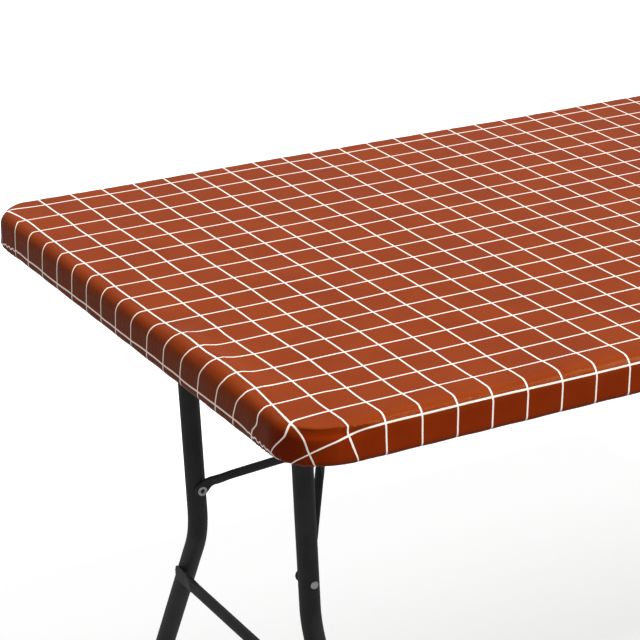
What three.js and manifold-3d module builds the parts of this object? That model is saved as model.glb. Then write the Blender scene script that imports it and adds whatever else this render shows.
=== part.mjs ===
// A folding banquet table under a fitted, elastic-edged tablecloth.
// Millimetres. +Z is up, +X runs along the table, +Y across it, and the origin is on the floor
// under the middle of the top. Each end has a folding leg frame, a two-armed yoke that is
// riveted to the legs, and a strut that joins the yoke to the underside of the top.
import * as THREE from "three";
import { mergeVertices } from "three/addons/utils/BufferGeometryUtils.js";
import Module from "manifold-3d";

// Overall sizes of the table.
const TABLE_LENGTH = 1829;
const TABLE_WIDTH = 762;
const TABLE_HEIGHT = 737;

// Clearance between two pieces that touch on the real table.
const GAP = 0.3;

// Blow-moulded top: a hollow panel with a deep rim and a shallower middle.
const TOP_THICKNESS = 40;
const TOP_CORNER = 52;
const TOP_EDGE_ROUND = 13;
const TOP_FOOT_ROUND = 6;
const TOP_WALL = 3;
const RIM_SIDE = 52;
const RIM_END = 60;
const RECESS_DEPTH = 15;
const RECESS_CORNER = 20;
const BLOW_HOLE_RADIUS = 4;
const BLOW_HOLE_X = 60;

// Fitted cover: one skin over the top, round the rim and back under it to an elastic hem.
const CLOTH_GAP = 0.4;
const CLOTH_THICKNESS = 1.2;
const HEM_INSET = 34;
const HEM_CORNER = 34;
const HEM_WIDTH = 12.7;
const HEM_HEIGHT = 5.2;
const HEM_WALL = 1;
const HEM_SLIT = 0.8;
const ELASTIC_THICKNESS = 1.5;
const ELASTIC_CLEARANCE = 0.7;

// Side rails: steel angles screwed to the underside of the top.
const RAIL_FLANGE = 20;
const RAIL_WEB = 40;
const RAIL_WALL = 2;
const RAIL_RIM_GAP = 5;
const RAIL_END_GAP = 10;
const RAIL_SCREW_FROM_END = 245;
const RAIL_SCREW_SIDES = [-1, 0, 1];

// Screws that hold the rails and the strut brackets.
const SCREW_RADIUS = 2;
const SCREW_HEAD_RADIUS = 4.5;
const SCREW_HEAD_HEIGHT = 3;
const SCREW_REACH = 10;

// Leg frame: a pivot tube across the rails with two bent legs welded to it.
const PIVOT_FROM_END = 142;
const PIVOT_DROP = 22;
const PIVOT_RADIUS = 11;
const PIVOT_WALL = 1.5;
const PIVOT_STICKS_OUT = 8;
const PIVOT_CAP_RADIUS = 14;
const PIVOT_CAP_LENGTH = 10;
const PIVOT_CAP_FLOOR = 2;
const LEG_RADIUS = 12.5;
const LEG_WALL = 1.4;
const LEG_SPACING = 278.6;
const LEG_LEAN = THREE.MathUtils.degToRad(3.99);
const LEG_START = 6;
const KNEE_DROP = 336;
const KNEE_BEND = 120;
const ANKLE_HEIGHT = 95;
const ANKLE_BEND = 60;
const CROSS_BRACE_DROP = 411;
const CROSS_BRACE_RADIUS = 7;
const CROSS_BRACE_PAD = [4, 44, 20];
const CROSS_BRACE_PAST_LEG = 1.5;

// Foot caps.
const CAP_RADIUS = 14.5;
const CAP_HEIGHT = 34;
const CAP_FLOOR = 8;
const FOOT_RAIL_GAP = 4.5;

// Yoke: two arms from the legs' inner faces that meet beside the strut.
const YOKE_DROP = 270.5;
const BRACE_SLOPE = THREE.MathUtils.degToRad(42);
const ARM_RADIUS = 5.5;
const ARM_EYE_RADIUS = 9;
const ARM_EYE_THICKNESS = 4.5;
const ARM_EYE_RUN = 15;
const ARM_TURN = THREE.MathUtils.degToRad(46.4);
const ARM_BEND = 14;
const ARM_TAIL = 20;
const ARM_STRAP = [4, 14];

// Strut with the lock ring that slides on it.
const STRUT_RADIUS = 8;
const STRUT_WALL = 1.4;
const STRUT_SIDE_GAP = 0.5;
const STRUT_END = 10;
const RING_LENGTH = 14;
const RING_WALL = 2.5;
const RING_PLAY = 1;
const RING_CORNER = 3;
const RING_PARK = 76;

// Strut bracket under the top.
const BRACKET_LENGTH = 50;
const BRACKET_WIDTH = 44;
const BRACKET_WALL = 2;
const BRACKET_EAR = 12;
const BRACKET_SCREW_X = 18;

// Rivets and pins.
const LEG_RIVET_RADIUS = 3;
const LEG_RIVET_HEAD = [5, 2.2];
const LEG_RIVET_TAIL = [6.2, 2];
const LEG_RIVET_HOLE = [2.8, 8];
const MID_RIVET_RADIUS = 2.5;
const MID_RIVET_HEAD = [5, 1.8];
const PIN_HEAD = [5, 2];

// How finely round shapes are divided. A shape's arc gets two points for each curve segment.
const ARC_POINTS = 2;
const ROUND_SIDES = 12;
const SMALL_SIDES = 8;
const CORNER_STEPS = 3;
const RING_STEPS = 2;
const EDGE_STEPS = 2;
const BEND_STEPS = 4;

// Levels and places that follow from the sizes above.
const UNDERSIDE = TABLE_HEIGHT - TOP_THICKNESS;
const PANEL_UNDERSIDE = UNDERSIDE + RECESS_DEPTH;
const PIVOT_HEIGHT = PANEL_UNDERSIDE - PIVOT_DROP;
const PIVOT_X = -TABLE_LENGTH / 2 + PIVOT_FROM_END;
const RAIL_TOP = PANEL_UNDERSIDE - GAP;
const RAIL_OUTSIDE = TABLE_WIDTH / 2 - RIM_SIDE - RAIL_RIM_GAP;
const RAIL_INSIDE = RAIL_OUTSIDE - RAIL_FLANGE;
const RAIL_LENGTH = TABLE_LENGTH - 2 * (RIM_END + RAIL_END_GAP);
const LEG_Y = LEG_SPACING / 2;
const FOOT_Y = RAIL_INSIDE - FOOT_RAIL_GAP - CAP_RADIUS;
const LEG_LENGTH = PIVOT_HEIGHT / Math.cos(LEG_LEAN);

// The yoke and strut are in line when the legs are open, and lie on each other, flat along the
// legs, when the legs are folded. Both lengths follow from those two positions.
const YOKE_FROM_PIVOT = YOKE_DROP / Math.cos(LEG_LEAN);
const BRACE_LENGTH = YOKE_DROP / Math.sin(BRACE_SLOPE);
const BRACE_RUN = YOKE_DROP / Math.tan(BRACE_SLOPE);
const BRACKET_X = YOKE_DROP * Math.tan(LEG_LEAN) + BRACE_RUN;
const FOLDED_SPAN = BRACKET_X - YOKE_FROM_PIVOT;
const YOKE_LENGTH = (BRACE_LENGTH - FOLDED_SPAN) / 2;
const STRUT_LENGTH = BRACE_LENGTH - YOKE_LENGTH;
const ARM_Y = LEG_Y - LEG_RADIUS - GAP - ARM_EYE_THICKNESS / 2;
const STRAP_Y = STRUT_RADIUS + STRUT_SIDE_GAP + ARM_STRAP[0] / 2;

const wasm = await Module();
wasm.setup();

const finish = (color, roughness, metalness) =>
  new THREE.MeshStandardMaterial({ color, roughness, metalness });
const FINISHES = {
  vinyl: () => finish(0x9c4722, 0.38, 0),
  hem: () => finish(0xd9d2c8, 0.9, 0),
  elastic: () => finish(0xeeeae2, 0.8, 0),
  panel: () => finish(0xe4e2dc, 0.6, 0),
  paint: () => finish(0x2c2c2e, 0.5, 0.4),
  zinc: () => finish(0xb6babd, 0.35, 0.9),
  blackPlastic: () => finish(0x1b1b1d, 0.65, 0),
};

// A closed geometry as a solid that can be joined and cut.
function solid(geometry) {
  const bare = geometry.index ? geometry.toNonIndexed() : geometry.clone();
  bare.deleteAttribute("normal");
  bare.deleteAttribute("uv");
  const merged = mergeVertices(bare, 1e-4);
  const vertProperties = merged.attributes.position.array;
  const triVerts = new Uint32Array(merged.index.array);
  return new wasm.Manifold(new wasm.Mesh({ numProp: 3, vertProperties, triVerts }));
}

// A solid back as a geometry.
function geometryOf(body) {
  const { vertProperties, triVerts } = body.getMesh();
  const geometry = new THREE.BufferGeometry();
  geometry.setAttribute("position", new THREE.BufferAttribute(vertProperties, 3));
  geometry.setIndex(new THREE.BufferAttribute(triVerts, 1));
  geometry.computeVertexNormals();
  return geometry;
}

// A named mesh from a geometry or a solid.
function piece(name, shape, look) {
  const geometry = shape.isBufferGeometry ? shape : geometryOf(shape);
  const mesh = new THREE.Mesh(geometry, FINISHES[look]());
  mesh.name = name;
  return mesh;
}

// A bar with a round section along one of the axes, centred on the origin.
function rod(radius, length, axis, sides = ROUND_SIDES) {
  const geometry = new THREE.CylinderGeometry(radius, radius, length, sides);
  if (axis === "x") geometry.rotateZ(Math.PI / 2);
  if (axis === "z") geometry.rotateX(Math.PI / 2);
  return geometry;
}

const rodAt = (radius, length, axis, x, y, z, sides) =>
  solid(rod(radius, length, axis, sides).translate(x, y, z));

// A round cutter whose flats still clear a pin of the given radius, however the pin is turned.
const boreAt = (radius, length, axis, x, y, z, sides = ROUND_SIDES) =>
  rodAt((radius + GAP) / Math.cos(Math.PI / sides), length, axis, x, y, z, sides);

const blockAt = (size, x, y, z) => solid(new THREE.BoxGeometry(...size).translate(x, y, z));

// A rectangle with round corners, centred on the origin.
function roundedRectangle(length, width, radius) {
  const x = length / 2 - radius;
  const y = width / 2 - radius;
  const shape = new THREE.Shape();
  shape.absarc(x, -y, radius, -Math.PI / 2, 0);
  shape.absarc(x, y, radius, 0, Math.PI / 2);
  shape.absarc(-x, y, radius, Math.PI / 2, Math.PI);
  shape.absarc(-x, -y, radius, Math.PI, 1.5 * Math.PI);
  return shape;
}

// A plate with round corners between two levels, with all its edges rounded if edge is given.
function plate(length, width, radius, low, high, edge = 0) {
  const geometry = new THREE.ExtrudeGeometry(roundedRectangle(length, width, radius), {
    depth: high - low - 2 * edge,
    curveSegments: CORNER_STEPS,
    bevelEnabled: edge > 0,
    bevelThickness: edge,
    bevelSize: edge,
    bevelOffset: -edge,
    bevelSegments: EDGE_STEPS,
  });
  return solid(geometry.translate(0, 0, low + edge));
}

// The same outline set in from the edge of the top.
const insetPlate = (inset, radius, low, high) =>
  plate(TABLE_LENGTH - 2 * inset, TABLE_WIDTH - 2 * inset, radius, low, high);

// The outside of the top, grown evenly by the given amount.
function topOutside(grow) {
  const length = TABLE_LENGTH + 2 * grow;
  const width = TABLE_WIDTH + 2 * grow;
  const corner = TOP_CORNER + grow;
  const low = UNDERSIDE - grow;
  const high = TABLE_HEIGHT + grow;
  const spare = TOP_THICKNESS;
  const upper = plate(length, width, corner, low - spare, high, TOP_EDGE_ROUND + grow);
  const lower = plate(length, width, corner, low, high + spare, TOP_FOOT_ROUND + grow);
  return upper.intersect(lower);
}

// Places of the screws, as the two sides and two ends use them.
const railScrewPlaces = RAIL_SCREW_SIDES.map((side) => side * (RAIL_LENGTH / 2 - RAIL_SCREW_FROM_END));
const RAIL_SCREW_Y = (RAIL_INSIDE + RAIL_WALL + RAIL_OUTSIDE) / 2;
const bracketScrewPlaces = [-1, 1].flatMap((end) =>
  [-1, 1].map((side) => end * (PIVOT_X + BRACKET_X) + side * BRACKET_SCREW_X),
);

function tableTop() {
  const recess = (grow, low, high) =>
    plate(
      TABLE_LENGTH - 2 * RIM_END + 2 * grow,
      TABLE_WIDTH - 2 * RIM_SIDE + 2 * grow,
      RECESS_CORNER + grow,
      low,
      high,
    );
  const panelFloor = PANEL_UNDERSIDE + TOP_WALL;
  const hollow = plate(
    TABLE_LENGTH - 2 * TOP_WALL,
    TABLE_WIDTH - 2 * TOP_WALL,
    TOP_CORNER - TOP_WALL,
    UNDERSIDE + TOP_WALL,
    TABLE_HEIGHT - TOP_WALL,
    TOP_FOOT_ROUND,
  ).subtract(recess(TOP_WALL, UNDERSIDE, panelFloor));
  const drill = (radius, x, y) =>
    boreAt(radius, 3 * TOP_WALL, "z", x, y, PANEL_UNDERSIDE + TOP_WALL / 2, SMALL_SIDES);
  let body = topOutside(0)
    .subtract(recess(0, UNDERSIDE - TOP_WALL, PANEL_UNDERSIDE))
    .subtract(hollow)
    .subtract(drill(BLOW_HOLE_RADIUS, BLOW_HOLE_X, 0));
  for (const x of railScrewPlaces)
    for (const side of [-1, 1])
      body = body.subtract(drill(SCREW_RADIUS, x, side * RAIL_SCREW_Y));
  for (const x of bracketScrewPlaces) body = body.subtract(drill(SCREW_RADIUS, x, 0));
  return piece("table_top", body, "panel");
}

function tablecloth() {
  const mouth = insetPlate(HEM_INSET, HEM_CORNER, UNDERSIDE - TOP_THICKNESS, UNDERSIDE);
  const body = topOutside(CLOTH_GAP + CLOTH_THICKNESS)
    .subtract(topOutside(CLOTH_GAP))
    .subtract(mouth);
  return piece("tablecloth", body, "vinyl");
}

// A flat ring that follows the hem, between two insets from the hem's outer edge.
const hemRing = (outer, inner, low, high) =>
  insetPlate(HEM_INSET + outer, HEM_CORNER - outer, low, high).subtract(
    insetPlate(HEM_INSET + inner, HEM_CORNER - inner, low - 1, high + 1),
  );

const HEM_TOP = UNDERSIDE - CLOTH_GAP;
const HEM_MIDDLE = HEM_TOP - HEM_HEIGHT / 2;

function hemCasing() {
  const low = HEM_TOP - HEM_HEIGHT;
  const tunnel = hemRing(GAP + HEM_WALL, GAP + HEM_WIDTH - HEM_WALL, low + HEM_WALL, HEM_TOP - HEM_WALL);
  const slit = hemRing(0, GAP + 2 * HEM_WALL, HEM_MIDDLE - HEM_SLIT / 2, HEM_MIDDLE + HEM_SLIT / 2);
  const body = hemRing(GAP, GAP + HEM_WIDTH, low, HEM_TOP).subtract(tunnel).subtract(slit);
  return piece("hem_casing", body, "hem");
}

function hemElastic() {
  const outer = GAP + HEM_WALL + ELASTIC_CLEARANCE;
  const inner = GAP + HEM_WIDTH - HEM_WALL - ELASTIC_CLEARANCE;
  const half = ELASTIC_THICKNESS / 2;
  return piece("hem_elastic", hemRing(outer, inner, HEM_MIDDLE - half, HEM_MIDDLE + half), "elastic");
}

function sideRail(name, side) {
  const flange = blockAt(
    [RAIL_LENGTH, RAIL_FLANGE, RAIL_WALL],
    0,
    side * (RAIL_INSIDE + RAIL_FLANGE / 2),
    RAIL_TOP - RAIL_WALL / 2,
  );
  const webY = side * (RAIL_INSIDE + RAIL_WALL / 2);
  let body = blockAt([RAIL_LENGTH, RAIL_WALL, RAIL_WEB], 0, webY, RAIL_TOP - RAIL_WEB / 2).add(flange);
  for (const end of [-1, 1])
    body = body.subtract(boreAt(PIVOT_RADIUS, 3 * RAIL_WALL, "y", end * PIVOT_X, webY, PIVOT_HEIGHT));
  for (const x of railScrewPlaces)
    body = body.subtract(
      boreAt(SCREW_RADIUS, 3 * RAIL_WALL, "z", x, side * RAIL_SCREW_Y, RAIL_TOP, SMALL_SIDES),
    );
  return piece(name, body, "paint");
}

// A pan-head screw pointing up, with its head just under the given level.
function screw(name, x, y, seat) {
  const headTop = seat - GAP;
  const profile = [
    [0, headTop - SCREW_HEAD_HEIGHT],
    [SCREW_HEAD_RADIUS * 0.7, headTop - SCREW_HEAD_HEIGHT],
    [SCREW_HEAD_RADIUS, headTop - SCREW_HEAD_HEIGHT / 2],
    [SCREW_HEAD_RADIUS, headTop],
    [SCREW_RADIUS, headTop],
    [SCREW_RADIUS, headTop + SCREW_REACH],
    [0, headTop + SCREW_REACH],
  ];
  return piece(name, turned(profile, SMALL_SIDES).rotateX(Math.PI / 2).translate(x, y, 0), "zinc");
}

// A turned shape about the Y axis, from radius and height pairs that rise.
function turned(profile, sides) {
  return new THREE.LatheGeometry(
    profile.map(([radius, height]) => new THREE.Vector2(radius, height)),
    sides,
  );
}

// A path of straight runs joined by round bends, divided only where it bends.
class BentPath extends THREE.Curve {
  constructor(corners, radii) {
    super();
    this.stations = [corners[0]];
    corners.slice(1, -1).forEach((corner, i) => this.bend(corners[i], corner, corners[i + 2], radii[i]));
    this.stations.push(corners[corners.length - 1]);
  }

  bend(before, corner, after, radius) {
    const inward = before.clone().sub(corner).normalize();
    const outward = after.clone().sub(corner).normalize();
    const half = inward.angleTo(outward) / 2;
    const middle = inward.clone().add(outward).normalize();
    const centre = corner.clone().addScaledVector(middle, radius / Math.sin(half));
    const start = corner.clone().addScaledVector(inward, radius / Math.tan(half)).sub(centre);
    const axis = new THREE.Vector3().crossVectors(outward, inward).normalize();
    for (let i = 0; i <= BEND_STEPS; i += 1) {
      const turn = ((Math.PI - 2 * half) * i) / BEND_STEPS;
      this.stations.push(start.clone().applyAxisAngle(axis, turn).add(centre));
    }
  }

  get steps() {
    return this.stations.length - 1;
  }

  getPointAt(u, target = new THREE.Vector3()) {
    const i = Math.round(u * this.steps);
    return target.copy(this.stations[i]);
  }

  getTangentAt(u, target = new THREE.Vector3()) {
    const i = Math.round(u * this.steps);
    const next = this.stations[Math.min(i + 1, this.steps)];
    const last = this.stations[Math.max(i - 1, 0)];
    const here = this.stations[i];
    const before = here.clone().sub(last).normalize();
    const after = next.clone().sub(here).normalize();
    return target.copy(before.add(after).normalize());
  }
}

// A round bar along a path.
function bentRod(radius, path, sides = ROUND_SIDES) {
  const section = new THREE.Shape().absarc(0, 0, radius, 0, 2 * Math.PI);
  const curveSegments = sides / ARC_POINTS;
  return solid(new THREE.ExtrudeGeometry(section, { steps: path.steps, extrudePath: path, curveSegments }));
}

// A leg in the frame's own axes: the pivot is at the origin and the leg hangs along -Z.
function leg(name, side) {
  const at = (y, z) => new THREE.Vector3(0, side * y, z);
  const ankle = -(PIVOT_HEIGHT - ANKLE_HEIGHT) / Math.cos(LEG_LEAN);
  const route = (top, bottom) =>
    new BentPath(
      [at(LEG_Y, top), at(LEG_Y, -KNEE_DROP), at(FOOT_Y, ankle), at(FOOT_Y, bottom)],
      [KNEE_BEND, ANKLE_BEND],
    );
  const foot = -LEG_LENGTH + CAP_FLOOR + GAP;
  const body = bentRod(LEG_RADIUS, route(-LEG_START, foot))
    .subtract(bentRod(LEG_RADIUS - LEG_WALL, route(0, foot - 1)))
    .subtract(boreAt(PIVOT_RADIUS, 4 * LEG_RADIUS, "y", 0, side * LEG_Y, 0))
    .subtract(
      boreAt(LEG_RIVET_RADIUS, 4 * LEG_RADIUS, "y", 0, side * LEG_Y, -YOKE_FROM_PIVOT, SMALL_SIDES),
    );
  return piece(name, body, "paint");
}

// How far out the splayed part of a leg is, at a distance down the leg from the pivot.
function legOffset(down) {
  const ankle = (PIVOT_HEIGHT - ANKLE_HEIGHT) / Math.cos(LEG_LEAN);
  return LEG_Y + ((FOOT_Y - LEG_Y) * (down - KNEE_DROP)) / (ankle - KNEE_DROP);
}

function pivotTube(name) {
  const length = 2 * (RAIL_INSIDE + RAIL_WALL + PIVOT_STICKS_OUT);
  const body = solid(rod(PIVOT_RADIUS, length, "y")).subtract(
    solid(rod(PIVOT_RADIUS - PIVOT_WALL, length + 2, "y")),
  );
  return piece(name, body, "paint");
}

// A push-on cap that keeps the pivot tube from sliding out of the rail.
function pivotCap(name, side) {
  const inner = RAIL_INSIDE + RAIL_WALL + GAP;
  const bore = PIVOT_STICKS_OUT + GAP;
  const body = rodAt(PIVOT_CAP_RADIUS, PIVOT_CAP_LENGTH + PIVOT_CAP_FLOOR, "y", 0,
    side * (inner + (PIVOT_CAP_LENGTH + PIVOT_CAP_FLOOR) / 2), 0)
    .subtract(boreAt(PIVOT_RADIUS, 2 * bore, "y", 0, side * inner, 0));
  return piece(name, body, "zinc");
}

// The brace across the outer faces of the legs, with its ends pressed flat.
function crossBrace(name) {
  const face = -(LEG_RADIUS + GAP);
  const half = legOffset(CROSS_BRACE_DROP);
  const [thick, long, tall] = CROSS_BRACE_PAD;
  const padY = half - long / 2 + CROSS_BRACE_PAST_LEG;
  const pad = (side) => blockAt([thick, long, tall], face - thick / 2, side * padY, -CROSS_BRACE_DROP);
  const reach = half - LEG_RADIUS - CROSS_BRACE_RADIUS - GAP;
  const body = rodAt(CROSS_BRACE_RADIUS, 2 * reach, "y", face - thick / 2, 0, -CROSS_BRACE_DROP)
    .add(pad(-1)).add(pad(1));
  return piece(name, body, "paint");
}

// A foot cap, cut level with the floor.
function footCap(name, side) {
  const y = side * FOOT_Y;
  const body = rodAt(CAP_RADIUS, 2 * CAP_HEIGHT, "z", 0, y, -LEG_LENGTH)
    .subtract(boreAt(LEG_RADIUS, CAP_HEIGHT, "z", 0, y, -LEG_LENGTH + CAP_FLOOR + CAP_HEIGHT / 2))
    .subtract(
      solid(
        new THREE.BoxGeometry(4 * CAP_RADIUS, 4 * CAP_RADIUS, 2 * CAP_HEIGHT)
          .translate(0, 0, -CAP_HEIGHT)
          .rotateY(LEG_LEAN)
          .translate(0, y, -LEG_LENGTH),
      ),
    );
  return piece(name, body, "blackPlastic");
}

// A semi-tubular rivet through the leg and the arm's eye: domed head outside, open tail inside.
function legRivet(name, side) {
  const outside = LEG_Y + LEG_RADIUS + GAP + LEG_RIVET_HEAD[1];
  const inside = ARM_Y - ARM_EYE_THICKNESS / 2 - GAP - LEG_RIVET_TAIL[1];
  const length = outside - inside;
  const profile = [
    [0, LEG_RIVET_HOLE[1]],
    [LEG_RIVET_HOLE[0], LEG_RIVET_HOLE[1]],
    [LEG_RIVET_HOLE[0], 0],
    [LEG_RIVET_TAIL[0], 0],
    [LEG_RIVET_TAIL[0], LEG_RIVET_TAIL[1]],
    [LEG_RIVET_RADIUS, LEG_RIVET_TAIL[1]],
    [LEG_RIVET_RADIUS, length - LEG_RIVET_HEAD[1]],
    [LEG_RIVET_HEAD[0], length - LEG_RIVET_HEAD[1]],
    [LEG_RIVET_HEAD[0] * 0.7, length],
    [0, length],
  ];
  const shape = turned(profile, SMALL_SIDES).translate(0, inside, 0);
  if (side < 0) shape.rotateZ(Math.PI);
  return piece(name, shape.translate(0, 0, -YOKE_FROM_PIVOT), "zinc");
}

// One yoke arm. X runs along the closed brace from the rivet, Y across the table.
function yokeArm(name, side) {
  const at = (x, y) => new THREE.Vector3(x, side * y, 0);
  const meet = ARM_EYE_RUN + (ARM_Y - STRAP_Y) / Math.tan(ARM_TURN);
  const path = new BentPath(
    [at(0, ARM_Y), at(ARM_EYE_RUN, ARM_Y), at(meet, STRAP_Y), at((meet + YOKE_LENGTH) / 2, STRAP_Y)],
    [ARM_BEND, ARM_BEND],
  );
  const slice = blockAt([2 * YOKE_LENGTH, ARM_Y - STRUT_RADIUS - STRUT_SIDE_GAP + ARM_EYE_THICKNESS / 2,
    4 * ARM_EYE_RADIUS], YOKE_LENGTH / 2,
  (side * (ARM_Y + ARM_EYE_THICKNESS / 2 + STRUT_RADIUS + STRUT_SIDE_GAP)) / 2, 0);
  const strapStart = meet - ARM_BEND;
  const strapEnd = YOKE_LENGTH + ARM_TAIL;
  const strapMiddle = (strapStart + strapEnd) / 2;
  const strap = blockAt([strapEnd - strapStart, ...ARM_STRAP], strapMiddle, side * STRAP_Y, 0);
  const eye = rodAt(ARM_EYE_RADIUS, ARM_EYE_THICKNESS, "y", 0, side * ARM_Y, 0);
  const rivetHole = boreAt(LEG_RIVET_RADIUS, 4 * ARM_EYE_THICKNESS, "y", 0, side * ARM_Y, 0, SMALL_SIDES);
  const midHole = boreAt(MID_RIVET_RADIUS, 4 * ARM_STRAP[0], "y", YOKE_LENGTH, side * STRAP_Y, 0,
    SMALL_SIDES);
  // The arm's bar is pressed flat where it lies on the leg, so it is cut clear of the rivet's tail.
  const tail = boreAt(LEG_RIVET_TAIL[0], 2 * ARM_RADIUS, "y", 0,
    side * (ARM_Y - ARM_EYE_THICKNESS / 2 - ARM_RADIUS), 0);
  const body = bentRod(ARM_RADIUS, path, SMALL_SIDES).intersect(slice).add(strap.intersect(slice)).add(eye)
    .subtract(rivetHole).subtract(midHole).subtract(tail);
  return piece(name, body, "paint");
}

// A short rivet through the arm only: it stops clear of the strut's bush, which it faces.
function midRivet(name, side) {
  const inside = STRUT_RADIUS + 2 * GAP;
  const outside = STRAP_Y + ARM_STRAP[0] / 2 + GAP + MID_RIVET_HEAD[1];
  const length = outside - inside;
  const profile = [
    [0, 0],
    [MID_RIVET_RADIUS, 0],
    [MID_RIVET_RADIUS, length - MID_RIVET_HEAD[1]],
    [MID_RIVET_HEAD[0], length - MID_RIVET_HEAD[1]],
    [MID_RIVET_HEAD[0] * 0.7, length],
    [0, length],
  ];
  const shape = turned(profile, SMALL_SIDES).translate(0, inside, 0);
  if (side < 0) shape.rotateZ(Math.PI);
  return piece(name, shape.translate(YOKE_LENGTH, 0, 0), "zinc");
}

// The strut, from the bracket pin at the origin along +X to the yoke.
function strut(name) {
  const length = STRUT_LENGTH + 2 * STRUT_END;
  const middle = STRUT_LENGTH / 2;
  const body = rodAt(STRUT_RADIUS, length, "x", middle, 0, 0)
    .subtract(rodAt(STRUT_RADIUS - STRUT_WALL, length + 2, "x", middle, 0, 0))
    .subtract(boreAt(LEG_RIVET_RADIUS, 4 * STRUT_RADIUS, "y", 0, 0, 0, SMALL_SIDES))
    .subtract(boreAt(MID_RIVET_RADIUS, 4 * STRUT_RADIUS, "y", STRUT_LENGTH, 0, 0, SMALL_SIDES));
  return piece(name, body, "paint");
}

// The bush across the strut's lower end, between the two yoke rivets.
function strutBush(name) {
  const body = rod(MID_RIVET_RADIUS, 2 * STRUT_RADIUS, "y", SMALL_SIDES);
  return piece(name, body.translate(STRUT_LENGTH, 0, 0), "zinc");
}

// The flattened ring that slides down the strut and holds the arms' tails in line with it.
function lockRing(name) {
  const halfWidth = STRAP_Y + ARM_STRAP[0] / 2 + RING_PLAY;
  const halfHeight = STRUT_RADIUS + RING_PLAY;
  const outline = (grow) =>
    roundedRectangle(2 * (halfHeight + grow), 2 * (halfWidth + grow), RING_CORNER + grow);
  const shape = outline(RING_WALL);
  shape.holes.push(new THREE.Path(outline(0).getPoints(RING_STEPS)));
  const body = new THREE.ExtrudeGeometry(shape, {
    depth: RING_LENGTH,
    bevelEnabled: false,
    curveSegments: RING_STEPS,
  });
  body.rotateY(Math.PI / 2).translate(STRUT_LENGTH - ARM_TAIL - RING_PARK, 0, 0);
  return piece(name, body, "zinc");
}

// The bracket that holds the strut's upper end, about its pin at the origin.
function strutBracket(name) {
  const seat = PIVOT_DROP - GAP;
  const earY = STRUT_RADIUS + STRUT_SIDE_GAP + BRACKET_WALL / 2;
  const earHeight = seat + BRACKET_EAR;
  let body = blockAt([BRACKET_LENGTH, BRACKET_WIDTH, BRACKET_WALL], 0, 0, seat - BRACKET_WALL / 2);
  for (const side of [-1, 1])
    body = body.add(
      blockAt([2 * BRACKET_EAR, BRACKET_WALL, earHeight], 0, side * earY, seat - earHeight / 2),
    );
  for (const x of [-BRACKET_SCREW_X, BRACKET_SCREW_X])
    body = body.subtract(boreAt(SCREW_RADIUS, 3 * BRACKET_WALL, "z", x, 0, seat, SMALL_SIDES));
  body = body.subtract(boreAt(LEG_RIVET_RADIUS, 2 * BRACKET_WIDTH, "y", 0, 0, 0, SMALL_SIDES));
  return piece(name, body, "paint");
}

function bracketPin(name) {
  const reach = STRUT_RADIUS + STRUT_SIDE_GAP + BRACKET_WALL + GAP;
  const profile = [
    [0, -reach - PIN_HEAD[1]],
    [PIN_HEAD[0], -reach - PIN_HEAD[1]],
    [PIN_HEAD[0], -reach],
    [LEG_RIVET_RADIUS, -reach],
    [LEG_RIVET_RADIUS, reach],
    [PIN_HEAD[0], reach],
    [PIN_HEAD[0], reach + PIN_HEAD[1]],
    [0, reach + PIN_HEAD[1]],
  ];
  return piece(name, turned(profile, SMALL_SIDES), "zinc");
}

// A group at a place, turned about the Y axis, with its pieces.
function placed(x, z, turn, pieces) {
  const group = new THREE.Group();
  group.position.set(x, 0, z);
  group.rotation.y = turn;
  group.add(...pieces);
  return group;
}

// Everything that folds at one end, built for the left end. The right end is turned half round,
// so its near side is built on the far side.
function foldingEnd(end) {
  const sides = end === "left" ? { near: -1, far: 1 } : { near: 1, far: -1 };
  const pair = (make, name) =>
    Object.entries(sides).map(([label, side]) => make(`${name}_${label}_${end}`, side));
  const bracketX = PIVOT_X + BRACKET_X;
  const group = new THREE.Group();
  group.add(
    placed(PIVOT_X, PIVOT_HEIGHT, -LEG_LEAN, [
      pivotTube(`pivot_tube_${end}`),
      crossBrace(`cross_brace_${end}`),
      ...pair(leg, "leg"),
      ...pair(pivotCap, "pivot_cap"),
      ...pair(footCap, "foot_cap"),
      ...pair(legRivet, "leg_rivet"),
    ]),
    placed(bracketX - BRACE_RUN, PIVOT_HEIGHT - YOKE_DROP, -BRACE_SLOPE, [
      ...pair(yokeArm, "yoke_arm"),
      ...pair(midRivet, "yoke_rivet"),
    ]),
    placed(bracketX, PIVOT_HEIGHT, Math.PI - BRACE_SLOPE, [
      strut(`strut_${end}`),
      strutBush(`strut_bush_${end}`),
      lockRing(`lock_ring_${end}`),
    ]),
    placed(bracketX, PIVOT_HEIGHT, 0, [
      strutBracket(`strut_bracket_${end}`),
      bracketPin(`bracket_pin_${end}`),
    ]),
  );
  if (end === "right") group.rotation.z = Math.PI;
  return group;
}

const table = new THREE.Group();
table.add(tableTop(), tablecloth(), hemCasing(), hemElastic());
table.add(sideRail("side_rail_near", -1), sideRail("side_rail_far", 1));
for (const [label, side] of [["near", -1], ["far", 1]])
  railScrewPlaces.forEach((x, i) =>
    table.add(screw(`rail_screw_${label}_${i + 1}`, x, side * RAIL_SCREW_Y, RAIL_TOP - RAIL_WALL)),
  );
bracketScrewPlaces.forEach((x, i) =>
  table.add(screw(`bracket_screw_${i + 1}`, x, 0, RAIL_TOP - BRACKET_WALL)),
);
table.add(foldingEnd("left"), foldingEnd("right"));

export default table;
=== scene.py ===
"""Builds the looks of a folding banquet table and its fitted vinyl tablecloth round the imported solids.

Sizes in the classes are millimetres, and every mesh is written in metres. +X runs along the table,
+Y across it, +Z is up and the floor is at 0.
"""

from __future__ import annotations

import logging
import math
from dataclasses import dataclass, field
from enum import Enum
from typing import ClassVar, Sequence

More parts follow.
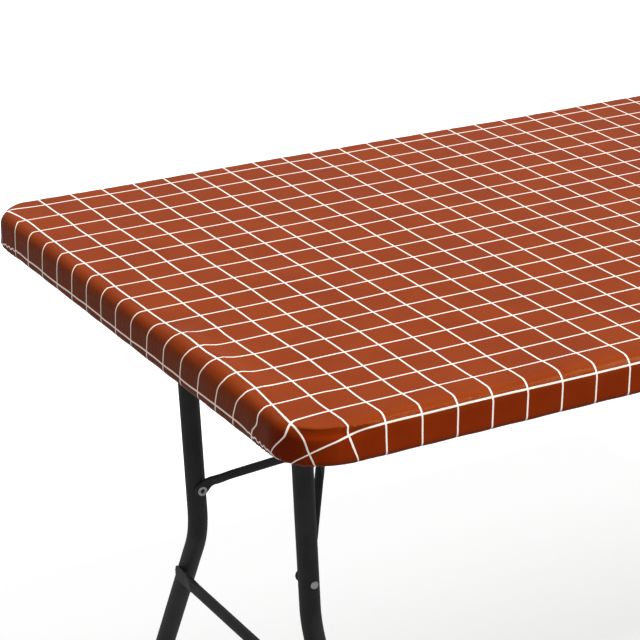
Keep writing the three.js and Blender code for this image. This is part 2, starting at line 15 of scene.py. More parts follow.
import bmesh
import bpy
import numpy as np
from mathutils import Matrix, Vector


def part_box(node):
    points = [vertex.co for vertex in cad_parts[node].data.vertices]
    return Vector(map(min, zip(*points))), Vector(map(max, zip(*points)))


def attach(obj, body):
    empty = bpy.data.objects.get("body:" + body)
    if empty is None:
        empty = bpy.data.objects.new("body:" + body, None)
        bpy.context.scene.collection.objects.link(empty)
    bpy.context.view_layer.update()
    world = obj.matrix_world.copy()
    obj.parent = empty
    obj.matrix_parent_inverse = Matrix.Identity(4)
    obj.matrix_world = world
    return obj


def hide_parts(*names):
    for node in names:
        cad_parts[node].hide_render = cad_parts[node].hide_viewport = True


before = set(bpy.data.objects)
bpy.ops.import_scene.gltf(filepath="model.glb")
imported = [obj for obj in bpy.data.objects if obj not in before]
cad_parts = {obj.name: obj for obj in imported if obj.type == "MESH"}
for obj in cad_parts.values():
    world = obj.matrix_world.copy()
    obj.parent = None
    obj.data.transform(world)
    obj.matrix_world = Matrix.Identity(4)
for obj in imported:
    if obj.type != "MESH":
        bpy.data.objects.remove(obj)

LOG = logging.getLogger("tablecloth")
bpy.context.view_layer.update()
MM = 0.001
SMOOTH_ANGLE = math.radians(38)
POLE_DISTANCE = 1e-6
UP = np.array([0.0, 0.0, 1.0])
Faces = Sequence[Sequence[int]] | np.ndarray


class End(Enum):
    """The two ends of the table. The right end is the left one turned half round."""

    LEFT = "left"
    RIGHT = "right"

    @property
    def sign(self) -> int:
        """1 at the left end and -1 at the right end, for both X and Y."""
        return 1 if self is End.LEFT else -1


class Side(Enum):
    """The two long sides of the table."""

    NEAR = "near"
    FAR = "far"

    def local(self, end: End) -> int:
        """Which way this side lies along an end's own Y axis."""
        return (-1 if self is Side.NEAR else 1) * end.sign


# ---------------------------------------------------------------------------------------------
# Shader expressions


class Wire:
    """One output of a shader node. Arithmetic on it adds Math nodes."""

    def __init__(self, board: "Board", socket: bpy.types.NodeSocket) -> None:
        """Keeps the board and the socket."""
        self.board = board
        self.socket = socket

    def _math(self, operation: str, *values: "Wire | float") -> "Wire":
        """A Math node on these values, in order."""
        return self.board.node("ShaderNodeMath", {"operation": operation}, dict(enumerate(values)))

    def __add__(self, other: "Wire | float") -> "Wire":
        """Sum."""
        return self._math("ADD", self, other)

    def __sub__(self, other: "Wire | float") -> "Wire":
        """Difference."""
        return self._math("SUBTRACT", self, other)

    def __mul__(self, other: "Wire | float") -> "Wire":
        """Product."""
        return self._math("MULTIPLY", self, other)

    def larger(self, other: "Wire | float") -> "Wire":
        """The larger of the two."""
        return self._math("MAXIMUM", self, other)

    def nearest_multiple(self, pitch: float) -> "Wire":
        """Distance to the nearest whole multiple of the pitch."""
        return self._math("PINGPONG", self, pitch / 2)

    def ramp(self, low: float, high: float, start: float = 0.0, end: float = 1.0) -> "Wire":
        """Smooth step from start to end as the value goes from low to high.

        Args:
            low: Value where the step begins.
            high: Value where it ends.
            start: Result below low.
            end: Result above high.

        Returns:
            The stepped value.
        """
        return self.board.node(
            "ShaderNodeMapRange",
            {"interpolation_type": "SMOOTHSTEP"},
            {0: self, 1: low, 2: high, 3: start, 4: end},
        )


class Board:
    """A material's node tree."""

    def __init__(self, name: str) -> None:
        """Makes an empty material with its output and shader."""
        self.material = bpy.data.materials.new(name)
        self.material.use_nodes = True
        self.tree = self.material.node_tree
        self.tree.nodes.clear()
        self.shader = self.tree.nodes.new("ShaderNodeBsdfPrincipled")
        output = self.tree.nodes.new("ShaderNodeOutputMaterial")
        self.tree.links.new(self.shader.outputs[0], output.inputs[0])

    def node(
        self,
        kind: str,
        settings: dict[str, object] | None = None,
        inputs: dict[int | str, object] | None = None,
        output: int | str = 0,
    ) -> Wire:
        """Adds a node.

        Args:
            kind: The node's type.
            settings: Its own settings, and "stops" for a colour ramp, set before the sockets.
            inputs: Values or wires by socket name or number.
            output: The socket that is wanted.

        Returns:
            That output as a wire.
        """
        node = self.tree.nodes.new(kind)
        for name, value in (settings or {}).items():
            if name == "stops":
                self._set_stops(node.color_ramp, value)
            else:
                setattr(node, name, value)
        for name, value in (inputs or {}).items():
            self.feed(node.inputs[name], value)
        return Wire(self, node.outputs[output])

    def feed(self, socket: bpy.types.NodeSocket, value: object) -> None:
        """Links a wire to a socket, or sets the socket's own value."""
        if isinstance(value, Wire):
            self.tree.links.new(value.socket, socket)
        else:
            socket.default_value = value

    @staticmethod
    def _set_stops(ramp: bpy.types.ColorRamp, stops: Sequence[tuple[float, tuple]]) -> None:
        """Gives a colour ramp these stops."""
        while len(ramp.elements) < len(stops):
            ramp.elements.new(0.5)
        for element, (position, colour) in zip(ramp.elements, stops):
            element.position = position
            element.color = (*colour, 1)

    def noise(self, place: Wire, scale: float, detail: float = 3, roughness: float = 0.5) -> Wire:
        """Noise between about 0 and 1 at a place, with scale cells in a metre."""
        return self.node(
            "ShaderNodeTexNoise",
            {},
            {"Vector": place, "Scale": scale, "Detail": detail, "Roughness": roughness},
        )

    def cells(self, place: Wire, scale: float) -> Wire:
        """Distance to the nearest cell's middle, for a pebbled grain."""
        return self.node("ShaderNodeTexVoronoi", {}, {"Vector": place, "Scale": scale})

    def place(self) -> Wire:
        """A point's place in the table's frame."""
        return self.node("ShaderNodeTexCoord", {}, {}, "Object")

    def attribute(self, name: str) -> Wire:
        """A share that the mesh holds for each point."""
        return self.node("ShaderNodeAttribute", {"attribute_name": name}, {}, "Fac")

    def coordinate(self, place: Wire, axis: int) -> Wire:
        """One coordinate of a place: 0 for X, 1 for Y and 2 for Z."""
        return self.node("ShaderNodeSeparateXYZ", {}, {0: place}, axis)

    def scaled(self, place: Wire, by: tuple[float, float, float]) -> Wire:
        """The place stretched along each axis."""
        return self.node("ShaderNodeMapping", {}, {"Vector": place, "Scale": by})

    def blend(self, share: Wire, first: object, second: object, how: str = "MIX") -> Wire:
        """A colour between two, by share, or the first one multiplied by the second."""
        first, second = ((*colour, 1) if isinstance(colour, tuple) else colour for colour in (first, second))
        settings = {"data_type": "RGBA", "blend_type": how}
        return self.node("ShaderNodeMix", settings, {0: share, 6: first, 7: second}, 2)

    def shades(self, value: Wire, stops: Sequence[tuple[float, tuple]]) -> Wire:
        """A value as a colour, through a ramp."""
        return self.node("ShaderNodeValToRGB", {"stops": stops}, {0: value})

    def bump(self, height: Wire, distance: float, strength: float = 1.0, under: Wire | None = None) -> Wire:
        """A normal from a height.

        Args:
            height: The height, where 1 stands for the distance.
            distance: Metres that a height of 1 stands for.
            strength: Share of the effect.
            under: A normal that this one is laid on.

        Returns:
            The new normal.
        """
        inputs = {"Height": height, "Distance": distance, "Strength": strength}
        if under is not None:
            inputs["Normal"] = under
        return self.node("ShaderNodeBump", {}, inputs)

    def surface(self, **sockets: object) -> bpy.types.Material:
        """Sets the shader's sockets, named with underscores for spaces, and returns the material."""
        for name, value in sockets.items():
            self.feed(self.shader.inputs[name.replace("_", " ")], value)
        return self.material


def rgb(red: float, green: float, blue: float) -> tuple[float, float, float]:
    """A screen colour from 0 to 255 as the linear one that shaders use."""
    shares = (red / 255, green / 255, blue / 255)
    return tuple(((c + 0.055) / 1.055) ** 2.4 if c > 0.0393 else c / 12.92 for c in shares)


# ---------------------------------------------------------------------------------------------
# Finishes


@dataclass(frozen=True)
class PrintedVinyl:
    """Terracotta vinyl with a thin white window-pane check, satin from a soft calender grain.

    The check's pitch, start and line are millimetres on the flat cut, from its middle. Where the
    sheet's "drawn" share is set, its colour is multiplied by a deeper tint: painted shade on the long
    sides and corners and under the corner folds. The lines carry a painted glow, a small emission, so
    that they read as white in shade.
    """

    ground: tuple = rgb(151, 60, 11)
    deep: tuple = rgb(142, 53, 8)
    fleck: tuple = rgb(164, 66, 24)
    # Painted shade: the colour of the dark streaks down the table's ends, where the wavy sheet is shaded.
    painted_streak_shade: tuple = rgb(98, 38, 10)
    line: tuple = rgb(255, 250, 244)
    # Painted shade: the tint that darkens the long sides, the corners and the face under each corner fold.
    painted_side_shade_tint: tuple = (0.87, 0.42, 0.3)
    sheen: tuple = (1.0, 0.68, 0.32, 1)
    sheen_level: float = 0.1
    # Painted light: the print lines get an emission of their own, so that they read as white in shade.
    painted_line_glow: tuple = (1, 0.8, 0.64)
    painted_glow_level: float = 0.19
    roughness: float = 0.3
    pitch: tuple[float, float] = (43.69, 40.98)
    start: tuple[float, float] = (-895.4, 350.2)
    line_width: float = 2.05
    line_softness: float = 0.22
    line_wander: float = 0.4

    def check(self, board: Board, flat: Wire) -> Wire:
        """Where the lines are: the distance to the nearest one each way, stepped at half a line."""
        half, soft = self.line_width * MM / 2, self.line_softness * MM
        wander = (board.noise(flat, 900, 2) - 0.5) * (self.line_wander * MM)
        ways = []
        for axis, (start, pitch) in enumerate(zip(self.start, self.pitch)):
            distance = (board.coordinate(flat, axis) - start * MM).nearest_multiple(pitch * MM)
            ways.append((distance + wander).ramp(half - soft, half + soft, 1, 0))
        return ways[0].larger(ways[1])

    def material(self) -> bpy.types.Material:
        """Builds the finish from the flat cut's own coordinates.

        Returns:
            The material: the check over a cloudy, flecked ground with painted shade from the sheet's
            attributes, dark streaks down the ends and a deeper tint on the sides and under the corner folds,
            with a bump for the crinkles, the ripples, the grain and the ink.
        """
        board = Board("printed_vinyl")
        flat = board.node("ShaderNodeUVMap", {"uv_map": "print"})
        crinkled, end_ripples_and_shade, drawn = (board.attribute(name) for name in ("crinkle", "end_ripples_and_shade", "drawn"))
        lines = self.check(board, flat)
        cloudy = board.noise(flat, 11, 4, 0.55)
        speck = board.noise(flat, 1400, 2)
        ripples_and_streak_shade = board.noise(board.scaled(flat, (14, 420, 1)), 1, 3, 0.65)
        streaks = board.noise(board.scaled(flat, (38, 330, 1)), 1, 4, 0.6)
        ground = board.blend(cloudy.ramp(0.3, 0.7), self.deep, self.ground)
        ground = board.blend(speck.ramp(0.35, 0.75, 0, 0.2), ground, self.fleck)
        # Painted shade: dark streaks down the ends, from the same stretched noise that bumps the ripples
        # there.
        ground = board.blend(ripples_and_streak_shade.ramp(0.35, 0.7, 0, 0.5) * end_ripples_and_shade, ground, self.painted_streak_shade)
        # Painted shade: the sides, corners and the faces under the folds are darkened by a multiplied tint.
        ground = board.blend(drawn, ground, self.painted_side_shade_tint, "MULTIPLY")
        normal = board.bump(streaks * crinkled, 0.0022)
        normal = board.bump(ripples_and_streak_shade * end_ripples_and_shade, 0.0012, 0.8, normal)
        normal = board.bump(board.noise(flat, 420, 3, 0.6), 0.00006, 1.0, normal)
        normal = board.bump(board.cells(flat, 1500), 0.00004, 0.6, normal)
        normal = board.bump(lines, 0.00005, 0.5, normal)
        rough = cloudy.ramp(0.25, 0.8, self.roughness - 0.05, self.roughness + 0.06) + lines * 0.08
        return board.surface(
            Base_Color=board.blend(lines, ground, self.line),
            Roughness=rough,
            Normal=normal,
            Specular_IOR_Level=self.sheen_level,
            Specular_Tint=self.sheen,
            # Painted light: an emission on the print lines, though they are no lamp.
            Emission_Color=board.blend(lines, (0, 0, 0), self.painted_line_glow),
            Emission_Strength=self.painted_glow_level,
        )


@dataclass(frozen=True)
class Flannel:
    """The napped backing on the inside of the vinyl."""

    pile: tuple = rgb(226, 221, 212)
    gaps: tuple = rgb(190, 184, 174)

    def material(self) -> bpy.types.Material:
        """Short fibres lying every way, over a faint knit."""
        board = Board("flannel_backing")
        place = board.place()
        fibres = board.noise(board.scaled(place, (900, 2600, 900)), 1, 4, 0.7)
        knit = board.noise(place, 700, 3, 0.6)
        colour = board.shades(fibres, [(0.3, self.gaps), (0.7, self.pile)])
        normal = board.bump(fibres, 0.0004, 0.9)
        normal = board.bump(knit, 0.0003, 0.6, normal)
        return board.surface(Base_Color=colour, Roughness=knit.ramp(0, 1, 0.9, 1.0), Normal=normal,
                             Sheen_Weight=0.35, Specular_IOR_Level=0.15)


@dataclass(frozen=True)
class PowderCoat:
    """Charcoal powder coat on steel, with its fine orange peel and a few worn specks."""

    name: str = "charcoal_powder_coat"
    dark: tuple = rgb(45, 45, 46)
    light: tuple = rgb(60, 60, 61)
    speck: tuple = rgb(92, 93, 94)

    def material(self) -> bpy.types.Material:
        """Orange peel from noise of about a millimetre, and a cloudy tone over it."""
        board = Board(self.name)
        place = board.place()
        peel = board.noise(place, 1100, 2, 0.5)
        cloud = board.noise(place, 24, 4, 0.6)
        specks = board.noise(place, 2300, 2, 0.5).ramp(0.68, 0.76)
        colour = board.blend(cloud.ramp(0.3, 0.7), self.dark, self.light)
        colour = board.blend(specks * 0.25, colour, self.speck)
        normal = board.bump(peel, 0.00012, 0.8)
        return board.surface(Base_Color=colour, Roughness=cloud.ramp(0.2, 0.8, 0.4, 0.52), Normal=normal,
                             Specular_IOR_Level=0.32)


@dataclass(frozen=True)
class ZincPlate:
    """Bright zinc on small steel pieces, slightly clouded and scratched."""

    bright: tuple = rgb(236, 236, 234)
    dull: tuple = rgb(196, 197, 196)

    def material(self) -> bpy.types.Material:
        """Clouding from broad noise and hairline scratches from stretched noise."""
        board = Board("zinc_plate")
        place = board.place()
        cloud = board.noise(place, 260, 3, 0.6)
        hair = board.noise(board.scaled(place, (5200, 300, 900)), 1, 3, 0.7)
        colour = board.shades(cloud, [(0.3, self.dull), (0.7, self.bright)])
        return board.surface(Base_Color=colour, Metallic=0.6, Roughness=hair.ramp(0.2, 0.8, 0.24, 0.46),
                             Normal=board.bump(hair, 0.00004, 0.6))


@dataclass(frozen=True)
class MouldedPanel:
    """Blow-moulded polyethylene with a pebbled skin."""

    pale: tuple = rgb(222, 220, 212)
    shade: tuple = rgb(200, 198, 190)

    def material(self) -> bpy.types.Material:
        """Pebbles from cells two millimetres wide, with a broad cloud in the colour."""
        board = Board("moulded_panel")
        place = board.place()
        pebbles = board.cells(place, 520)
        cloud = board.noise(place, 9, 4, 0.6)
        flow = board.noise(board.scaled(place, (14, 60, 14)), 1, 3, 0.6)
        colour = board.blend(cloud.ramp(0.3, 0.7), self.shade, self.pale)
        normal = board.bump(pebbles, 0.0003, 0.6)
        normal = board.bump(flow, 0.0012, 0.5, normal)
        return board.surface(Base_Color=colour, Roughness=pebbles.ramp(0, 0.8, 0.5, 0.68), Normal=normal)


@dataclass(frozen=True)
class FootPlastic:
    """Black moulded plastic, scuffed towards the floor."""

    black: tuple = rgb(24, 24, 25)
    scuffed: tuple = rgb(70, 68, 65)

    def material(self) -> bpy.types.Material:
        """Scuffs from noise that is let through near the floor."""
        board = Board("foot_plastic")
        place = board.place()
        height = board.coordinate(place, 2)
        grit = board.noise(board.scaled(place, (900, 900, 240)), 1, 4, 0.7)
        scuffs = grit.ramp(0.5, 0.62) * height.ramp(0.0, 0.02, 0.7, 0.04)
        colour = board.blend(scuffs, self.black, self.scuffed)
        normal = board.bump(board.cells(place, 1300), 0.0001, 0.6)
        return board.surface(Base_Color=colour, Roughness=grit.ramp(0.2, 0.8, 0.5, 0.72), Normal=normal)


@dataclass(frozen=True)
class Webbing:
    """White yarn, for the elastic band and the sewing thread."""

    name: str = "white_yarn"
    light: tuple = rgb(236, 233, 226)
    hollow: tuple = rgb(176, 172, 164)
    ribs: float = 900.0

    def material(self) -> bpy.types.Material:
        """Yarns across the band, from noise stretched over its thickness."""
        board = Board(self.name)
        place = board.place()
        yarn = board.noise(board.scaled(place, (self.ribs, self.ribs, 200)), 1, 3, 0.6)
        colour = board.shades(yarn, [(0.35, self.hollow), (0.6, self.light)])
        return board.surface(Base_Color=colour, Roughness=yarn.ramp(0, 1, 0.75, 0.95),
                             Normal=board.bump(yarn, 0.0003, 0.8), Sheen_Weight=0.2)


def made_once(finish: type, *values: object) -> bpy.types.Material:
    """A field that holds one finish's material, made with these values."""
    return field(default_factory=lambda: finish(*values).material())


@dataclass
class Finishes:
    """One material of each finish, made once."""

    vinyl: bpy.types.Material = made_once(PrintedVinyl)
    flannel: bpy.types.Material = made_once(Flannel)
    paint: bpy.types.Material = made_once(PowderCoat)
    # Painted light: a lighter copy of the powder coat, for the brace whose pressed pads face up into the
    # light.
    lit_copy_paint: bpy.types.Material = made_once(
        PowderCoat, "lit_copy_powder_coat", rgb(52, 53, 54), rgb(72, 73, 74)
    )
    zinc: bpy.types.Material = made_once(ZincPlate)
    panel: bpy.types.Material = made_once(MouldedPanel)
    foot: bpy.types.Material = made_once(FootPlastic)
    elastic: bpy.types.Material = made_once(Webbing, "elastic_yarn")
    thread: bpy.types.Material = made_once(
        Webbing, "sewing_thread", rgb(225, 196, 180), rgb(160, 110, 90), 2600
    )


# ---------------------------------------------------------------------------------------------
# Surfaces


def grid_faces(
    rows: int, columns: int, wrap_rows: bool = False, wrap_columns: bool = False
) -> np.ndarray:
    """Quads of a grid of points, row by row.

    Args:
        rows: Number of rows of points.
        columns: Number of points in a row.
        wrap_rows: Whether the last row joins the first.
        wrap_columns: Whether a row's last point joins its first.

    Returns:
        Point numbers, four for each face: (i, j), (i, j+1), (i+1, j+1), (i+1, j).
    """
    i = np.arange(rows if wrap_rows else rows - 1)[:, None]
    j = np.arange(columns if wrap_columns else columns - 1)[None, :]
    below, beside = (i + 1) % rows, (j + 1) % columns
    corners = (i * columns + j, i * columns + beside, below * columns + beside, below * columns + j)
    return np.stack([np.broadcast_to(c, (i.size, j.size)) for c in corners], -1).reshape(-1, 4)


def volume_of(points: np.ndarray, faces: Sequence[Sequence[int]]) -> float:
    """Signed volume of a surface, times six: the tetrahedra from the origin to each quad, summed."""
    quads = np.array([f for f in faces if len(f) == 4])
    a, b, c, d = (points[quads[:, k]] for k in range(4))
    return float((a * (np.cross(b, c) + np.cross(c, d))).sum())


def make_mesh(
    name: str,
    points: np.ndarray,
    faces: Faces,
    weld: bool = False,
    turn_out: bool = True,
) -> bpy.types.Object:
    """Makes an object whose place is in its mesh.

    Args:
        name: The piece's name.
        points: Points in millimetres.
        faces: Point numbers of each face.
        weld: Whether points that lie on each other are merged, as at a pole.
        turn_out: Whether the faces are turned to point out of the closed surface.

    Returns:
        The object, smooth but for its sharp edges.
    """
    flat = points.reshape(-1, 3)
    rows = faces.tolist() if isinstance(faces, np.ndarray) else [list(f) for f in faces]
    if turn_out and volume_of(flat - flat.mean(0), rows) < 0:
        rows = [row[::-1] for row in rows]
    mesh = bpy.data.meshes.new(name)
    mesh.from_pydata((flat * MM).tolist(), [], rows)
    if weld:
        shell = bmesh.new()
        shell.from_mesh(mesh)
        bmesh.ops.remove_doubles(shell, verts=shell.verts, dist=POLE_DISTANCE)
        bmesh.ops.recalc_face_normals(shell, faces=shell.faces)
        shell.to_mesh(mesh)
        shell.free()
    mesh.polygons.foreach_set("use_smooth", np.ones(len(mesh.polygons), bool))
    mesh.set_sharp_from_angle(angle=SMOOTH_ANGLE)
    mesh.update()
    made = bpy.data.objects.new(name, mesh)
    bpy.context.scene.collection.objects.link(made)
    return made


def capped(rows: int, columns: int) -> list[list[int]]:
    """Faces of a tube of rings, with a flat cap on its first and last ring."""
    faces = grid_faces(rows, columns, wrap_columns=True).tolist()
    first = list(range(columns))[::-1]
    last = list(range((rows - 1) * columns, rows * columns))
    return faces + [first, last]


def smooth_step(value: np.ndarray | float) -> np.ndarray:
    """0 below 0, 1 above 1 and a smooth cubic between them."""
    t = np.clip(value, 0, 1)
    return t * t * (3 - 2 * t)


def ramp(value: np.ndarray | float, start: np.ndarray | float, width: float) -> np.ndarray:
    """A smooth step from 0 at start to 1 at start plus width."""
    return smooth_step((value - start) / width)


def bell(value: np.ndarray, middle: np.ndarray | float, width: np.ndarray | float) -> np.ndarray:
    """A bell curve: e to minus the square of the distance from the middle over the width."""
    return np.exp(-(((value - middle) / width) ** 2))


def torus_faces(points: np.ndarray) -> np.ndarray:
    """Faces of rings that join both round themselves and from the last to the first."""
    return grid_faces(*points.shape[:2], wrap_rows=True, wrap_columns=True)


def rounded_rectangle(half: np.ndarray, radius: float, quarter: np.ndarray) -> np.ndarray:
    """A rounded rectangle's corner points, anticlockwise, at these angles into each corner's turn."""
    parts = []
    for sx, sy, start in ((1, -1, -np.pi / 2), (1, 1, 0), (-1, 1, np.pi / 2), (-1, -1, np.pi)):
        turn = start + quarter
        centre = np.array([sx, sy]) * (half - radius)
        parts.append(centre + radius * np.stack([np.cos(turn), np.sin(turn)], -1))
    return np.concatenate(parts)


def circle(sides: int) -> np.ndarray:
    """Points of a unit circle."""
    turn = np.linspace(0, 2 * np.pi, sides, endpoint=False)
    return np.stack([np.cos(turn), np.sin(turn)], -1)


def rounded_section(half: np.ndarray, squareness: np.ndarray, sides: int = 32) -> np.ndarray:
    """Sections between an ellipse and a rectangle, one for each row of half sizes.

    The curve is a superellipse: each unit-circle coordinate, to the power 2 over the squareness,
    times the half size. A squareness of 2 is an ellipse, and 8 is nearly a rectangle.

    Args:
        half: Half width and half height of each section, n by 2.
        squareness: The exponent of each section, n long.
        sides: Points round a section.

    Returns:
        n sections of sides points, by 2.
    """
    unit = circle(sides)[None]
    power = 2 / np.asarray(squareness)[:, None, None]
    return np.sign(unit) * np.abs(unit) ** power * half[:, None, :]


def bent_path(corners: np.ndarray, radii: Sequence[float], steps: int = 10) -> np.ndarray:
    """A path of straight runs joined by round bends.

    A bend's centre lies on the line that halves the corner, at the radius over the sine of half the
    corner's angle, and its points turn evenly about it from one run to the next.

    Args:
        corners: Points where the runs would meet, with both ends, n by 3.
        radii: Radius of each bend.
        steps: Runs that a bend is divided into.

    Returns:
        Points of the path.
    """
    parts = [corners[:1]]
    for before, corner, after, radius in zip(corners, corners[1:], corners[2:], radii):
        inward = (before - corner) / np.linalg.norm(before - corner)
        outward = (after - corner) / np.linalg.norm(after - corner)
        half = np.arccos(np.clip(inward @ outward, -1, 1)) / 2
        middle = (inward + outward) / np.linalg.norm(inward + outward)
        centre = corner + middle * radius / np.sin(half)
        start = corner + inward * radius / np.tan(half) - centre
        end = corner + outward * radius / np.tan(half) - centre
        turn = np.pi - 2 * half
        share = np.linspace(0, 1, steps + 1)[:, None]
        arc = (np.sin((1 - share) * turn) * start + np.sin(share * turn) * end) / np.sin(turn)
        parts.append(centre + arc)
    parts.append(corners[-1:])
    return np.concatenate(parts)


def divided(path: np.ndarray, step: float) -> np.ndarray:
    """The same path with points no further apart than about a step, at even distances."""
    along = np.concatenate([[0], np.cumsum(np.linalg.norm(np.diff(path, axis=0), axis=1))])
    at = np.unique(np.concatenate([along, np.linspace(0, along[-1], int(along[-1] / step) + 2)]))
    return np.stack([np.interp(at, along, path[:, k]) for k in range(3)], -1)


def carried(
    path: np.ndarray, flat_normal: np.ndarray, section: np.ndarray, closed: bool = False
) -> np.ndarray:
    """A section carried along a path that lies in a plane.

    A point is the path's point, plus its first coordinate across the path in the plane, plus its
    second along the plane's normal. At a bend the first is stretched by the mitre.

    Args:
        path: Points of the path, n by 3.
        flat_normal: Unit normal of the path's plane.
        section: One section (k by 2) or one for each point (n by k by 2).
        closed: Whether the path joins its start.

    Returns:
        Points, n by k by 3.
    """
    first = path[-1:] if closed else 2 * path[:1] - path[1:2]
    last = path[:1] if closed else 2 * path[-1:] - path[-2:-1]
    before, after = np.concatenate([first, path[:-1]]), np.concatenate([path[1:], last])
    back = (path - before) / np.linalg.norm(path - before, axis=1, keepdims=True)
    ahead = (after - path) / np.linalg.norm(after - path, axis=1, keepdims=True)
    tangent = (back + ahead) / np.linalg.norm(back + ahead, axis=1, keepdims=True)
    across = np.cross(tangent, flat_normal)
    mitre = 1 / np.clip(np.einsum("ij,ij->i", tangent, ahead), 0.3, 1)
    across = across * mitre[:, None]
    shape = np.broadcast_to(section, (len(path), *np.shape(section)[-2:]))
    return path[:, None] + shape[..., :1] * across[:, None] + shape[..., 1:] * flat_normal


def turned(
    profile: Sequence[tuple[float, float]], sides: int, axis: str, centre: Sequence[float]
) -> np.ndarray:
    """A profile of (radius, distance along the axis) points turned about an axis.

    Args:
        profile: The profile's points.
        sides: Points round a ring.
        axis: "x", "y" or "z".
        centre: Where the axis' zero is.

    Returns:
        Points, one ring for each of the profile's.
    """
    radius, along = np.array(profile, float).T
    unit = circle(sides)
    k = "xyz".index(axis)
    points = np.zeros((len(radius), sides, 3))
    points[..., k] = along[:, None]
    points[..., (k + 1) % 3] = radius[:, None] * unit[:, 0]
    points[..., (k + 2) % 3] = radius[:, None] * unit[:, 1]
    return points + np.asarray(centre, float)


def rounded(profile: Sequence[tuple[float, float]], radii: Sequence[float], steps: int = 4) -> list:
    """A profile with its inner corners rounded.

    Args:
        profile: (radius, distance) corners, with both ends.
        radii: How far each inner corner is rounded, 0 to leave it.
        steps: Runs in a rounded corner.

    Returns:
        The new profile. A rounded corner is the quadratic curve between points on its two runs.
    """
    points = np.array(profile, float)
    made = [points[0]]
    for before, corner, after, size in zip(points, points[1:], points[2:], radii):
        if size <= 0:
            made.append(corner)
            continue
        start = corner + (before - corner) / np.linalg.norm(before - corner) * size
        end = corner + (after - corner) / np.linalg.norm(after - corner) * size
        t = np.linspace(0, 1, steps + 1)[:, None]
        made.extend((1 - t) ** 2 * start + 2 * t * (1 - t) * corner + t * t * end)
    made.append(points[-1])
    return [tuple(p) for p in made]


def facing(profile: Sequence[tuple[float, float]], sign: int) -> list:
    """A profile as it is, or mirrored along its axis where the sign is -1."""
    return [(radius, sign * along) for radius, along in profile]


@dataclass(frozen=True)
class Placement:
    """Where a folding sub-assembly's own axes stand in the table's frame."""

    x: float
    z: float
    turn: float
    end: End

    def world(self, points: np.ndarray) -> np.ndarray:
        """Turns points about Y, moves them to the place and turns them half round at the right end."""
        c, s = math.cos(self.turn), math.sin(self.turn)
        x, y, z = points[..., 0], points[..., 1], points[..., 2]
        moved = np.stack([x * c + z * s + self.x, y, z * c - x * s + self.z], -1)
        return moved * np.array([self.end.sign, self.end.sign, 1])


def middle_of(node: str) -> np.ndarray:
    """The middle of a CAD node's box, in millimetres."""
    low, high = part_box(node)
    return (np.array(low) + np.array(high)) / 2 / MM


def lay_print(mesh: bpy.types.Mesh, flat: np.ndarray) -> None:
    """Gives a mesh its places on the flat cut, one in millimetres for each of its points."""
    uv = mesh.uv_layers.new(name="print")
    corners = np.zeros(len(mesh.loops), np.int32)
    mesh.loops.foreach_get("vertex_index", corners)
    uv.data.foreach_set("uv", (flat.reshape(-1, 2)[corners] * MM).astype(np.float32).ravel())


def dress(
    made: bpy.types.Object,
    material: bpy.types.Material,
    body: str,
    node: str | None,
) -> bpy.types.Object:
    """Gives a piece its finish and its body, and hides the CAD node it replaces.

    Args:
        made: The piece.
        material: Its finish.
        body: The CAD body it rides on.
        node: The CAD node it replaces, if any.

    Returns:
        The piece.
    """
    if not made.data.materials:
        made.data.materials.append(material)
    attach(made, body)
    if node:
        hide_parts(node)
    LOG.info("%s: %d faces on %s", made.name, len(made.data.polygons), body)
    return made


# ---------------------------------------------------------------------------------------------
# The fitted cover


@dataclass(frozen=True)
class Rim:
    """Stations round a rounded rectangle: a point of its inner rectangle and an outward direction."""

    half: tuple[float, float]
    fine_zone: float = 84.0
    fine_step: float = 2.8
    coarse_step: float = 14.0
    corner_steps: int = 44

    def marks(self, half: float) -> np.ndarray:
        """Marks along a side, close together near its ends and wide apart between."""
        fine = np.arange(0, self.fine_zone, self.fine_step)
        inner = half - self.fine_zone
        middle = np.linspace(-inner, inner, int(2 * inner / self.coarse_step) + 1)
        return np.concatenate([fine - half, middle, (half - fine)[::-1]])

    def stations(self) -> tuple[np.ndarray, np.ndarray, np.ndarray]:
        """All stations, anticlockwise from the near side's left end.

        Returns:
            Base points (n by 2), outward angles, and how far each lies from the nearest corner.
        """
        hx, hy = self.half
        xs, ys = self.marks(hx), self.marks(hy)
        turn = np.linspace(0, np.pi / 2, self.corner_steps, endpoint=False)
        parts = []
        for run, fixed, axis, angle in (
            (xs, -hy, 0, -np.pi / 2),
            (ys, hx, 1, 0.0),
            (xs[::-1], hy, 0, np.pi / 2),
            (ys[::-1], -hx, 1, np.pi),
        ):
            side = np.full((len(run) - 1, 2), fixed)
            side[:, axis] = run[:-1]
            corner = np.full((len(turn), 2), fixed)
            corner[:, axis] = run[-1]
            gap = np.abs(run).max() - np.abs(run[:-1])
            parts.append((side, np.full(len(side), angle), gap))
            parts.append((corner, angle + turn, np.zeros(len(turn))))
        base, angle, gap = (np.concatenate(p) for p in zip(*parts))
        return base, angle, gap


